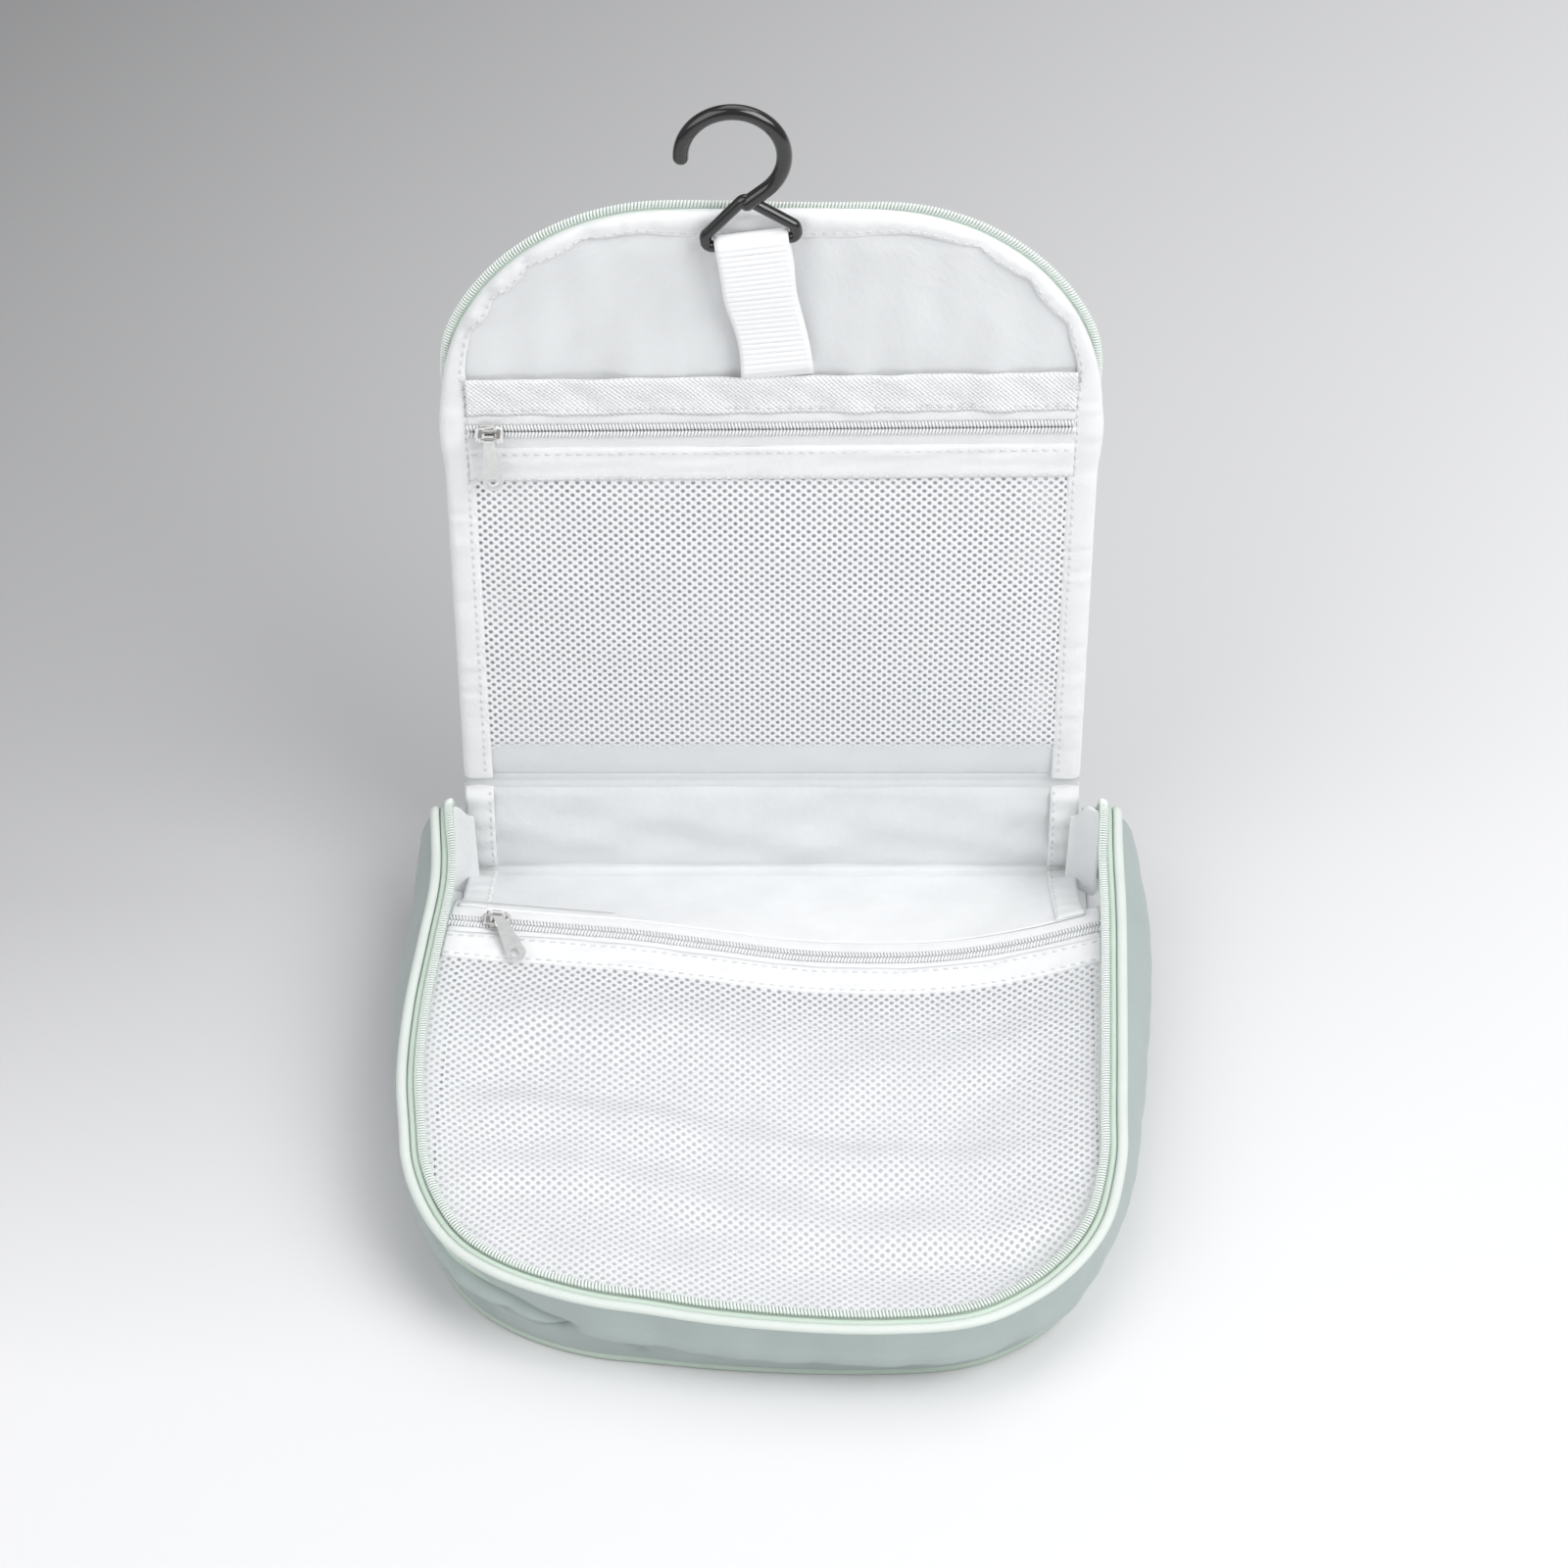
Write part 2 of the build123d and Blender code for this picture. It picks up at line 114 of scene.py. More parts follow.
# profiles of cloths carried along a path: offsets inward and up
RIM_TAPE = (
    (1.4, -5.8), (1.5, -3.6), (2.4, -1.9), (3.3, -1.2), (3.75, 0.1), (4.3, 0.55), (5.1, 0.5),
    (5.75, 0.1), (6.1, -0.9), (6.7, -0.3), (8.6, 0.0),
)
LID_EDGE = (
    (3.4, -1.35), (1.2, -1.45), (0.1, -0.9), (-0.35, 0.4), (-0.1, 2.2), (0.8, 3.35),
    (2.4, 3.8), (4.2, 3.9), (6.0, 3.85), (7.6, 3.7), (8.8, 3.6), (9.7, 3.3), (9.9, 2.5),
)
LID_EDGE_LOOSE = (0, 0, 0, 0.2, 0.5, 0.9, 1.0, 0.9, 0.75, 0.35, 0.8, 0.7, 0.1)

# ---- the studio, metres; each light has a name, place, target, size and power ----
LIGHTS = (
    ("key", (1.3, -0.85, 1.7), (0, 0, 0.1), 1.6, 36.0),
    ("fill", (-1.3, -0.9, 1.5), (0, 0, 0.1), 1.8, 16.5),
    ("top", (0.3, 0.85, 2.1), (0, 0.1, 0.1), 1.9, 15.0),
)
SKY_COLOUR, SKY_STRENGTH = (0.97, 0.98, 1.0, 1.0), 0.38
LENS_MM, SENSOR_MM, VIEW_END = 102.8, 36.0, 20.0
CAMERA_PLACE, CAMERA_PITCH = (0.0043, -1.102, 1.111), math.radians(49.0)
# how dark the painted shade on the floor and backdrop grows
FLOOR_PAINTED_SHADE = 0.37


# ---- properties ----
def length(name, description, default):
    """A length property, with its default given in millimetres."""
    return bpy.props.FloatProperty(
        name=name, description=description, default=default * MM, min=0.0, unit="LENGTH", precision=5
    )


def colour(name, description, red, green, blue):
    """A colour property, with its default given as screen values out of 255."""
    linear = tuple(to_linear(v / 255.0) for v in (red, green, blue))
    return bpy.props.FloatVectorProperty(
        name=name, description=description, default=linear, size=3, min=0.0, max=1.0, subtype="COLOR"
    )


def to_linear(v):
    """A screen value made linear by the sRGB curve."""
    return v / 12.92 if v <= 0.04045 else ((v + 0.055) / 1.055) ** 2.4


class BagSizes(bpy.types.PropertyGroup):
    """Sizes of the sewn detail."""

    net_across: length("Net pitch across", "Distance between holes along a row of the nets", 3.6)
    net_along: length("Net pitch along", "Distance between a row and the next but one", 3.45)
    net_hole: length("Net hole", "Diameter of a hole of the nets", 1.6)
    coil_pitch: length("Coil pitch", "Distance between turns of a zip's coil", 1.15)
    stitch_pitch: length("Stitch pitch", "Distance between stitches", 3.6)
    stitch_length: length("Stitch length", "Length of a stitch", 2.3)
    cloth: length("Cloth", "Thickness of the outer cloth and the linings", 0.7)
    pucker: length("Pucker", "Height of the puckers in the lid's bound edge", 0.75)
    wrinkle: length("Wrinkle", "Height of the soft wrinkles in the linings", 1.2)
    web_rib: length("Webbing rib", "Distance between the webbing's ribs", 2.1)


class BagColours(bpy.types.PropertyGroup):
    """Colours of the finishes."""

    mint: colour("Mint cloth", "Outer cloth", 168, 181, 178)
    mint_tape: colour("Mint zip", "Main zip's tape", 203, 219, 206)
    mint_pale: colour("Pale mint", "Main zip's coil and piping", 226, 233, 228)
    white: colour("White cloth", "Hems, flap and bound edges", 245, 246, 247)
    lining: colour("Lining", "Lining cloth", 228, 230, 231)
    net: colour("Net", "Knitted nets", 238, 239, 241)
    plastic: colour("Hook", "Moulded hook", 9, 9, 10)
    metal: colour("Metal", "Sliders and pullers", 243, 242, 240)
    floor: colour("Floor", "Studio floor", 229, 229, 230)


# ---- whole-array mathematics ----
def smooth(t):
    """Zero below 0, one above 1, and 3t^2 - 2t^3 between them."""
    t = np.clip(t, 0.0, 1.0)
    return t * t * (3.0 - 2.0 * t)


def smooth_line(x, stations, values):
    """Value at x of a smooth line through stations: cubic Hermite pieces, each station's slope the mean of
    the chords beside it."""
    stations, values = np.asarray(stations, float), np.asarray(values, float)
    chord = np.diff(values) / np.diff(stations)
    slope = np.concatenate([chord[:1], (chord[1:] + chord[:-1]) / 2.0, chord[-1:]])
    i = np.clip(np.searchsorted(stations, x) - 1, 0, len(stations) - 2)
    span = stations[i + 1] - stations[i]
    t = np.clip((x - stations[i]) / span, 0.0, 1.0)
    a, b = values[i], values[i + 1]
    return (
        a
        + (b - a) * t * t * (3.0 - 2.0 * t)
        + span * (slope[i] * t * (1.0 - t) ** 2 - slope[i + 1] * t * t * (1.0 - t))
    )


def ripples(a, b, seed, shortest, longest, count=9):
    """A sum of count sines over the plane (a, b), each with its own direction, phase and wavelength between
    shortest and longest, scaled to about -1 to 1."""
    rng = np.random.default_rng(seed)
    waves = np.stack([rng.uniform(0, 2 * np.pi, count), rng.uniform(0, 2 * np.pi, count)])
    size = shortest * (longest / shortest) ** rng.uniform(0, 1, count)
    flow = np.multiply.outer(a, np.cos(waves[0]) / size) + np.multiply.outer(b, np.sin(waves[0]) / size)
    return np.sin(2 * np.pi * flow + waves[1]).sum(-1) / math.sqrt(count) / 1.2


def d_measures(half_width, straight, round_end, radius, crown):
    """The D's big arc radius and centre, its corner centre's height and the big arc's half angle. The big arc
    passes through both ends of the crown; a corner circle touches the side and the big arc from inside."""
    sign = math.copysign(1.0, straight - round_end)
    big = (half_width**2 + crown**2) / (2.0 * crown)
    centre = round_end + sign * big
    corner = centre - sign * math.sqrt((big - radius) ** 2 - (half_width - radius) ** 2)
    return sign, big, centre, corner, math.asin((half_width - radius) / (big - radius))


def d_path(half_width, straight, round_end, radius, crown, count):
    """count points and outward normals along a D, from one end of its straight sides round to the other: each
    point is its arc's centre plus its radius along the normal, and the second half mirrors the first."""
    sign, big, centre, corner, alpha = d_measures(half_width, straight, round_end, radius, crown)
    side, turn, front = abs(straight - corner), radius * (math.pi / 2 - alpha), big * alpha
    total = 2.0 * (side + turn + front)
    s = np.linspace(0.0, total, count)
    m = np.minimum(s, total - s)
    hand = np.where(s < total / 2, -1.0, 1.0)
    psi = np.interp(m, [0.0, side, side + turn, total / 2], [math.pi / 2, math.pi / 2, alpha, 0.0])
    nx, ny = hand * np.sin(psi), -sign * np.cos(psi)
    on_side, on_turn = m < side, m < side + turn
    x = np.where(
        on_side, hand * half_width, np.where(on_turn, hand * (half_width - radius) + radius * nx, big * nx)
    )
    y = np.where(on_side, straight - sign * m, np.where(on_turn, corner + radius * ny, centre + big * ny))
    return x, y, nx, ny


def d_margin(x, y, half_width, straight, round_end, radius, crown):
    """Distance of (x, y) inside a D's outline: to the corner arc within the corner's wedge, and elsewhere to
    the nearer of the side and the big arc."""
    sign, big, centre, corner, alpha = d_measures(half_width, straight, round_end, radius, crown)
    px, py = np.abs(x) - (half_width - radius), sign * (corner - y)
    wedge = (px > 0) & (np.arctan2(px, py) > alpha) & (py > 0)
    outside = np.minimum(half_width - np.abs(x), big - np.hypot(x, y - centre))
    return np.where(wedge, radius - np.hypot(px, py), outside)


def stack(*parts):
    """Coordinates joined to points."""
    return np.stack(np.broadcast_arrays(*parts), -1).astype(float)


def unit(v):
    """Vectors made one long."""
    return v / np.maximum(np.linalg.norm(v, axis=-1, keepdims=True), 1e-9)


def repeated(direction, line):
    """One direction for each point of a line."""
    return np.tile(np.asarray(direction, float), (len(line), 1))


def travelled(points):
    """Distance along a row of points from its first."""
    return np.concatenate([[0.0], np.cumsum(np.linalg.norm(np.diff(points, axis=0), axis=1))])


def resampled(pitch, points, *others):
    """The row of points, and values that go with it, at places one pitch apart along it."""
    far = travelled(points)
    at = np.arange(pitch / 2, far[-1], pitch)
    return [np.stack([np.interp(at, far, p[:, k]) for k in range(3)], 1) for p in (points, *others)]


def pulled(points, share=1.0):
    """The case's uneven pull: its sides move across by a smooth line over y, its front moves along by a
    smooth line over x, each faded in towards that edge."""
    x, y = points[..., 0], points[..., 1]
    left = smooth((-x - 40) / 60) * smooth_line(
        y, (-100, -75, -48, -17, 15, 48, 77, 105, 125), (0, 1.0, -0.6, -3.5, -3.0, 0, 2.6, 1.5, 0)
    )
    right = smooth((x - 40) / 60) * smooth_line(
        y, (-110, -87, -66, -40, -8, 29, 62, 102, 125), (0, -2.3, -4.6, -4.1, -2.4, -0.5, 1.0, 1.6, 2.2)
    )
    front = smooth((-y - 10) / 70) * smooth_line(
        x,
        (-124, -110, -92, -72, -46, -21, 4, 30, 55, 71, 87, 100, 124),
        (1, 3.5, 6.5, 8.0, 6.0, 1.7, -1.4, -3.3, -3.2, -3.0, -1.0, 0.5, 2.0),
    )
    moved = np.array(points, float)
    moved[..., 0] += share * (left + right)
    moved[..., 1] += share * front
    return moved


def rim_path(count):
    """The rim's line with its inward and upward directions: the D in the sloping rim plane, and at each rear
    end a quarter circle that turns down and a straight drop behind the gusset. Towards its rear ends the rim
    rolls outward."""
    ear_q = GUSSET_REAR_Y - EAR_RADIUS
    x, q, nx, nq = d_path(RIM_HALF_WIDTH, ear_q, RIM_ROUND, RIM_RADIUS, CROWN, count)
    line = stack(x, 0 * x, RIM_MID) + np.multiply.outer(q, RIM_BACK)
    inward = -(stack(nx, 0, 0) + np.multiply.outer(nq, RIM_BACK))
    up = np.tile(RIM_UP, (count, 1))
    turn = np.linspace(0, math.pi / 2, 14)[1:]
    drop = np.linspace(0, EAR_DROP, 10)[1:]
    back = np.concatenate([EAR_RADIUS * np.sin(turn), np.full(len(drop), EAR_RADIUS)])
    down = np.concatenate([EAR_RADIUS * (1 - np.cos(turn)), EAR_RADIUS + drop])
    lean = np.concatenate([turn, np.full(len(drop), math.pi / 2)])
    end = np.multiply.outer(back, RIM_BACK) - np.multiply.outer(down, RIM_UP)
    end_up = np.multiply.outer(np.cos(lean), RIM_UP) + np.multiply.outer(np.sin(lean), RIM_BACK)
    sides = np.ones((len(end), 1))
    line = np.concatenate([(line[0] + end)[::-1], line, line[-1] + end])
    inward = np.concatenate([sides * inward[0], inward, sides * inward[-1]])
    up = np.concatenate([end_up[::-1], up, end_up])
    fall = np.concatenate([down[::-1], 0 * x, down])[:, None]
    roll = EAR_ROLL * smooth((line[:, 1:2] - ear_q + 30) / 30) * (1 - smooth(fall / (EAR_RADIUS + 6)))
    rolled = inward * np.cos(roll) + up * np.sin(roll)
    return pulled(line), rolled, up * np.cos(roll) - inward * np.sin(roll)


def lid_points(x, s, d):
    """Points of the lid: x across, s up from the fold line and d in front of it."""
    return stack(x, FOLD_Y - d, FOLD_HEIGHT + s)


def lid_path(count, start):
    """The lid's outline with its inward and forward directions."""
    x, s, nx, ns = d_path(PANEL_HALF_WIDTH, start, LID_REACH, LID_RADIUS, LID_CROWN, count)
    return lid_points(x, s, 0.0), stack(-nx, 0, -ns), np.tile([0.0, -1.0, 0.0], (count, 1))


def tilted(s, x):
    """The pocket's rows rise a little to the right of its slider."""
    return s + POCKET_TILT * (x - POCKET_PIVOT_X)


def cover_height(x, y):
    """Height of the net cover: a smooth line over x at each station, blended smoothly between stations over
    y, plus broad folds that run across."""
    ys = [y0 for y0, _ in COVER_STATIONS]
    rows = [smooth_line(x, COVER_X, z) for _, z in COVER_STATIONS]
    height = rows[0]
    for low_y, high_y, low, high in zip(ys[1:], ys, rows[1:], rows):
        t = smooth((high_y - y) / (high_y - low_y))
        height = np.where(y < high_y, high * (1 - t) + low * t, height)
    loose = smooth((38 - y) / 25) * smooth((y + 118) / 30) * smooth((112 - np.abs(x)) / 30)
    bend = y + 0.05 * x + 5.0 * np.sin(x / 41.0)
    folds = 1.9 * np.sin(bend / 6.2 + 0.6) * smooth((34 - np.abs(bend + 52)) / 18)
    folds += 1.4 * np.sin(bend / 10.5) + 0.8 * ripples(x, y, 5, 30, 80)
    return height + loose * folds


def zip_height(x):
    """Height of the cover's zip line."""
    return smooth_line(x, COVER_X, ZIP_LINE_Z)


# ---- meshes ----
def quads(rows, columns, wrap=False):
    """Faces of a grid of points, with the last column joined to the first when it wraps."""
    i = np.arange(rows - 1)[:, None]
    j = np.arange(columns if wrap else columns - 1)[None, :]
    k = (j + 1) % columns
    return np.stack(
        [i * columns + j, (i + 1) * columns + j, (i + 1) * columns + k, i * columns + k], -1
    ).reshape(-1, 4)


def make_object(name, points, faces, finish, uv=None):
    """A smooth mesh object from points in millimetres, faces and a finish."""
    mesh = bpy.data.meshes.new(name)
    mesh.from_pydata(np.asarray(points).reshape(-1, 3) * MM, [], faces)
    if uv is not None:
        layer = mesh.uv_layers.new(name="UVMap")
        index = np.zeros(len(mesh.loops), np.int32)
        mesh.loops.foreach_get("vertex_index", index)
        layer.data.foreach_set("uv", np.asarray(uv, np.float32)[index].ravel())
    mesh.update()
    mesh.shade_smooth()
    mesh.materials.append(finishes()[finish])
    piece = bpy.data.objects.new(name, mesh)
    bpy.context.scene.collection.objects.link(piece)
    return piece


def attach(piece, slot, body="case", blend=None, replaces=(), **sheet):
    """Says what a piece moves with: the empty of its body, or, for a blend, only its place baked in; and
    hides the plain solids it stands for.
    The finish slot, the blend's bodies and ends and the flat sheet are not used."""
    if blend:
        a, b, start, end = blend
        [v * MM for v in start]
        [v * MM for v in end]
        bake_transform(piece)
    else:
        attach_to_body(piece, body)
    if replaces:
        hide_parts(*replaces)


def cloth_piece(name, grid, finish, slot, thick, turn=False, **how):
    """A sheet of cloth from a grid of points: its map is the distance along and across it in millimetres, and
    Solidify gives its thickness."""
    rows, columns = grid.shape[:2]
    along, across = travelled(grid[:, columns // 2]), travelled(grid[rows // 2])
    uv = stack(along[:, None], across[None, :]).reshape(-1, 2)
    faces = quads(rows, columns)
    piece = make_object(name, grid, faces[:, ::-1] if turn else faces, finish, uv)
    wall = piece.modifiers.new("Thickness", "SOLIDIFY")
    wall.thickness, wall.offset = thick * MM, 0.0
    attach(piece, slot, **how)


def rounded(name, rings, finish, slot, **how):
    """A closed round piece from rings of points, with both ends capped and its faces turned outward."""
    rows, columns = rings.shape[:2]
    faces = quads(rows, columns, wrap=True).tolist()
    faces += [list(range(columns)), list(range((rows - 1) * columns, rows * columns))]
    along, across = travelled(rings[:, 0]), np.arange(columns) * 0.5
    uv = stack(along[:, None], across[None, :]).reshape(-1, 2)
    piece = make_object(name, rings, faces, finish, uv)
    face_outward(piece.data)
    attach(piece, slot, **how)


def face_outward(mesh):
    """Turns a closed mesh's faces outward."""
    shell = bmesh.new()
    shell.from_mesh(mesh)
    bmesh.ops.recalc_face_normals(shell, faces=shell.faces)
    shell.to_mesh(mesh)
    shell.free()


def band(line, inward, up, offsets):
    """A grid carried along a path: each column is the line moved by that offset's two numbers along the
    inward and up directions."""
    across, above = np.asarray(offsets, float).T[:, None, :, None]
    return line[:, None] + inward[:, None] * across + up[:, None] * above


def spread(low, high, count, level=0.0):
    """Offsets for a flat band: count places from low to high, all at one level."""
    return stack(np.linspace(low, high, count), level)


def oval(across, up, half_across, half_up, count=12):
    """Offsets round an oval."""
    turn = np.arange(count) * 2 * math.pi / count
    return stack(across + half_across * np.cos(turn), up + half_up * np.sin(turn))


def coil_rings(pitch, line, inward, up, half_across=1.3, half_up=0.5, wire=0.44):
    """A flattened helix: the line plus a turning radius along inward and up, with a four-sided wire round it
    spanned by the radius and by the product of the helix's heading with it."""
    per_turn = 10
    line, inward, up = resampled(pitch / per_turn, line, inward, up)
    turn = (np.arange(len(line)) * 2 * math.pi / per_turn)[:, None]
    radius = half_across * np.cos(turn) * inward + half_up * np.sin(turn) * up
    centre = line + radius
    out = unit(np.cos(turn) * inward + np.sin(turn) * up)
    beside = unit(np.cross(unit(np.gradient(centre, axis=0)), out))
    corner = (np.arange(4) * math.pi / 2)[None, :, None]
    return centre[:, None] + wire * (np.cos(corner) * out[:, None] + np.sin(corner) * beside[:, None])


def stitches(name, rows, finish, slot, sizes, **how):
    """Thread stitches along rows of points: each is a six-sided thread with pointed ends, laid one pitch
    apart and sunk a little into the cloth."""
    places = [resampled(sizes.stitch_pitch / MM, *row) for row in rows]
    line, heading, up = (np.concatenate([p[k] for p in places]) for k in range(3))
    side = unit(np.cross(heading, up))
    turn = np.arange(6) * math.pi / 3
    ring = stack(0 * turn, 0.42 * np.cos(turn), 0.3 * np.sin(turn))
    half = sizes.stitch_length / MM / 2
    shape = np.concatenate(
        [[[-half, 0, -0.2]], ring + [-0.6 * half, 0, 0], ring + [0.6 * half, 0, 0], [[half, 0, -0.2]]]
    )
    axes = np.stack([unit(heading), side, unit(up)], 1)
    points = line[:, None] + np.einsum("pk,nkc->npc", shape, axes)
    j, k = np.arange(6), (np.arange(6) + 1) % 6
    fan_a = np.stack([0 * j, 1 + k, 1 + j], 1)
    fan_b = np.stack([0 * j + 13, 7 + j, 7 + k], 1)
    wall = np.stack([1 + j, 1 + k, 7 + k, 7 + j], 1)
    shift = (np.arange(len(line)) * 14)[:, None, None]
    faces = (fan_a + shift).reshape(-1, 3).tolist() + (fan_b + shift).reshape(-1, 3).tolist()
    faces += (wall + shift).reshape(-1, 4).tolist()
    piece = make_object(name, points, faces, finish)
    face_outward(piece.data)
    attach(piece, slot, **how)


def net_piece(name, place, keep, spans, sizes, finish, slot, **how):
    """A knitted net: cells stand on a grid turned by 45 degrees, each a diamond ring of eight faces round a
    hole. The diamonds share their edges, which stand a little proud of the holes' edges."""
    (a0, a1), (b0, b1) = spans
    across, along, hole = (v / MM for v in (sizes.net_across, sizes.net_along, sizes.net_hole / 2))
    i, j = np.meshgrid(
        np.arange(int((a1 - a0) / across) + 1), np.arange(int(2 * (b1 - b0) / along) + 1), indexing="ij"
    )
    centre = stack(a0 + (i + 0.5 * (j % 2)) * across, b0 + j * along / 2).reshape(-1, 2)
    centre = centre[keep(centre[:, 0], centre[:, 1])]
    turn = np.arange(8) * math.pi / 4
    outer = np.array(
        [[0.5, 0], [0.25, 0.25], [0, 0.5], [-0.25, 0.25], [-0.5, 0], [-0.25, -0.25], [0, -0.5], [0.25, -0.25]]
    ) * [across, along]
    inner = stack(hole * np.cos(turn), hole * np.sin(turn))
    rim = (centre[:, None] + outer).reshape(-1, 2)
    key = np.round(rim * 50).astype(np.int64)
    _, first, same = np.unique(key, axis=0, return_index=True, return_inverse=True)
    rim, same = rim[first], same.reshape(-1, 8)
    holes = (centre[:, None] + inner).reshape(-1, 2)
    hole_index = len(rim) + np.arange(len(holes)).reshape(-1, 8)
    nxt = np.roll(np.arange(8), -1)
    faces = np.stack([same, same[:, nxt], hole_index[:, nxt], hole_index], -1).reshape(-1, 4)
    flat = np.concatenate([rim, holes])
    proud = np.concatenate([np.full(len(rim), NET_PROUD), np.full(len(holes), NET_SUNK)])
    piece = make_object(name, place(flat[:, 0], flat[:, 1], proud), faces, finish, flat)
    attach(piece, slot, **how)


# ---- finishes ----
class Sock:
    """A shader socket, or a number, with the arithmetic that the finishes use."""

    def __init__(self, nodes, value):
        self.nodes, self.value = nodes, value

    def maths(self, operation, *values):
        return self.nodes.add("ShaderNodeMath", {"operation": operation}, dict(enumerate(values)))

    def __add__(self, other):
        return self.maths("ADD", self, other)

    def __sub__(self, other):
        return self.maths("SUBTRACT", self, other)

    def __rsub__(self, other):
        return self.maths("SUBTRACT", other, self)

    def __mul__(self, other):
        return self.maths("MULTIPLY", self, other)

    def __truediv__(self, other):
        return self.maths("DIVIDE", self, other)

    def __pow__(self, other):
        return self.maths("POWER", self, other)

    __radd__, __rmul__ = __add__, __mul__

    def sine(self):
        return self.maths("SINE", self)

    def clamped(self):
        return self.nodes.add("ShaderNodeClamp", {}, {"Value": self})


class Finish:
    """A material's nodes: one shader, and any other node through add."""

    def __init__(self, name, base, roughness, **constants):
        self.material = bpy.data.materials.new(name)
        self.material.use_nodes = True
        self.tree = self.material.node_tree
        self.shader = self.tree.nodes["Principled BSDF"]
        self.shader.inputs["Base Color"].default_value = (*base, 1.0)
        self.shader.inputs["Roughness"].default_value = roughness
        for socket, value in constants.items():
            self.shader.inputs[socket.replace("_", " ").title()].default_value = value

    def add(self, kind, settings, values, output=0):
        node = self.tree.nodes.new(kind)
        for key, value in settings.items():
            if key == "stops":
                for k, (place, shade) in enumerate(value):
                    stop = node.color_ramp.elements[k] if k < 2 else node.color_ramp.elements.new(place)
                    stop.position, stop.color = place, shade
            else:
                setattr(node, key, value)
        for key, value in values.items():
            self.feed(node.inputs[key], value)
        return Sock(self, node.outputs[output])

    def feed(self, socket, value):
        value = value.value if isinstance(value, Sock) else value
        if isinstance(value, bpy.types.NodeSocket):
            self.tree.links.new(value, socket)
        else:
            socket.default_value = value

    def place(self, scale, use_uv=False):
        """Object coordinates, or the piece's own map, in patterns of the given size."""
        where = self.add("ShaderNodeTexCoord", {}, {}, "UV" if use_uv else "Object")
        return self.add("ShaderNodeMapping", {}, {"Vector": where, "Scale": scale})

    def noise(self, where, scale, detail=3.0):
        values = {"Vector": where, "Scale": scale, "Detail": detail, "Roughness": 0.55}
        return self.add("ShaderNodeTexNoise", {}, values, "Fac")

    def parts(self, where):
        node = self.add("ShaderNodeSeparateXYZ", {}, {"Vector": where}).value.node
        return [Sock(self, node.outputs[k]) for k in range(3)]

    def shade(self, factor, dark, light):
        """A colour between dark and light."""
        values = {0: factor, 6: (*dark, 1.0), 7: (*light, 1.0)}
        return self.add("ShaderNodeMix", {"data_type": "RGBA"}, values, 2)

    def bump(self, height, distance, strength=1.0):
        values = {"Height": height, "Distance": distance, "Strength": strength}
        self.feed(self.shader.inputs["Normal"], self.add("ShaderNodeBump", {}, values))


def scaled(base, factor):
    """A colour made darker or lighter."""
    return tuple(min(1.0, c * factor) for c in base)


def woven(name, base, pitch, depth, mottle=0.05, roughness=0.75, use_uv=True, crumple=0.25, **constants):
    """Woven cloth: threads cross at pitch, the colour varies in soft patches and between threads, and the
    weave and small creases are raised."""
    finish = Finish(name, base, roughness, **constants)
    where = finish.place((1, 1, 1) if use_uv else (1 / MM, 1 / MM, 1 / MM), use_uv)
    x, y, z = finish.parts(where)
    if not use_uv:
        x = x + y * 0.7
        y = z
    turns = 2 * math.pi / pitch
    warp, weft = (x * turns).sine(), (y * turns).sine()
    weave = warp * weft * 0.5 + 0.5
    patches = finish.noise(where, 0.045, 4.0)
    threads = finish.noise(where, 0.9, 2.0)
    tone = (patches - 0.5) * 1.4 + (threads - 0.5) * 0.5 + (weave - 0.5) * 0.25 + 0.5
    finish.feed(
        finish.shader.inputs["Base Color"],
        finish.shade(tone, scaled(base, 1 - 2 * mottle), scaled(base, 1 + mottle)),
    )
    finish.feed(finish.shader.inputs["Roughness"], patches * 0.25 + (roughness - 0.12))
    creases = finish.noise(where, 0.16, 3.0)
    finish.bump(weave * depth + creases * crumple + threads * (0.4 * depth), MM)
    return finish.material


def moulded(name, base, roughness):
    """Glossy moulded plastic with faint flow marks and a few fine scuffs."""
    finish = Finish(name, base, roughness, coat_weight=0.8, coat_roughness=0.08)
    where = finish.place((1 / MM, 1 / MM, 1 / MM))
    flow = finish.noise(where, 0.12, 4.0)
    scuff = finish.noise(where, 1.7, 5.0)
    finish.feed(finish.shader.inputs["Roughness"], flow * 0.1 + (scuff ** 4) * 0.4 + (roughness - 0.06))
    finish.feed(finish.shader.inputs["Base Color"], finish.shade(flow, scaled(base, 0.8), scaled(base, 1.5)))
    finish.bump(flow * 0.12 + scuff * 0.02, MM)
    return finish.material


def plated(name, base):
    """Plated metal: mirror bright, with a soft haze and fine rubbing marks."""
    finish = Finish(name, base, 0.18, metallic=1.0)
    where = finish.place((1 / MM, 1 / MM, 1 / MM))
    haze = finish.noise(where, 0.5, 4.0)
    rubbed = finish.noise(where, 3.0, 6.0)
    finish.feed(finish.shader.inputs["Roughness"], haze * 0.1 + rubbed * 0.08 + 0.03)
    finish.feed(finish.shader.inputs["Base Color"], finish.shade(haze, scaled(base, 0.82), scaled(base, 1.1)))
    finish.bump(rubbed * 0.015 + haze * 0.03, MM)
    return finish.material


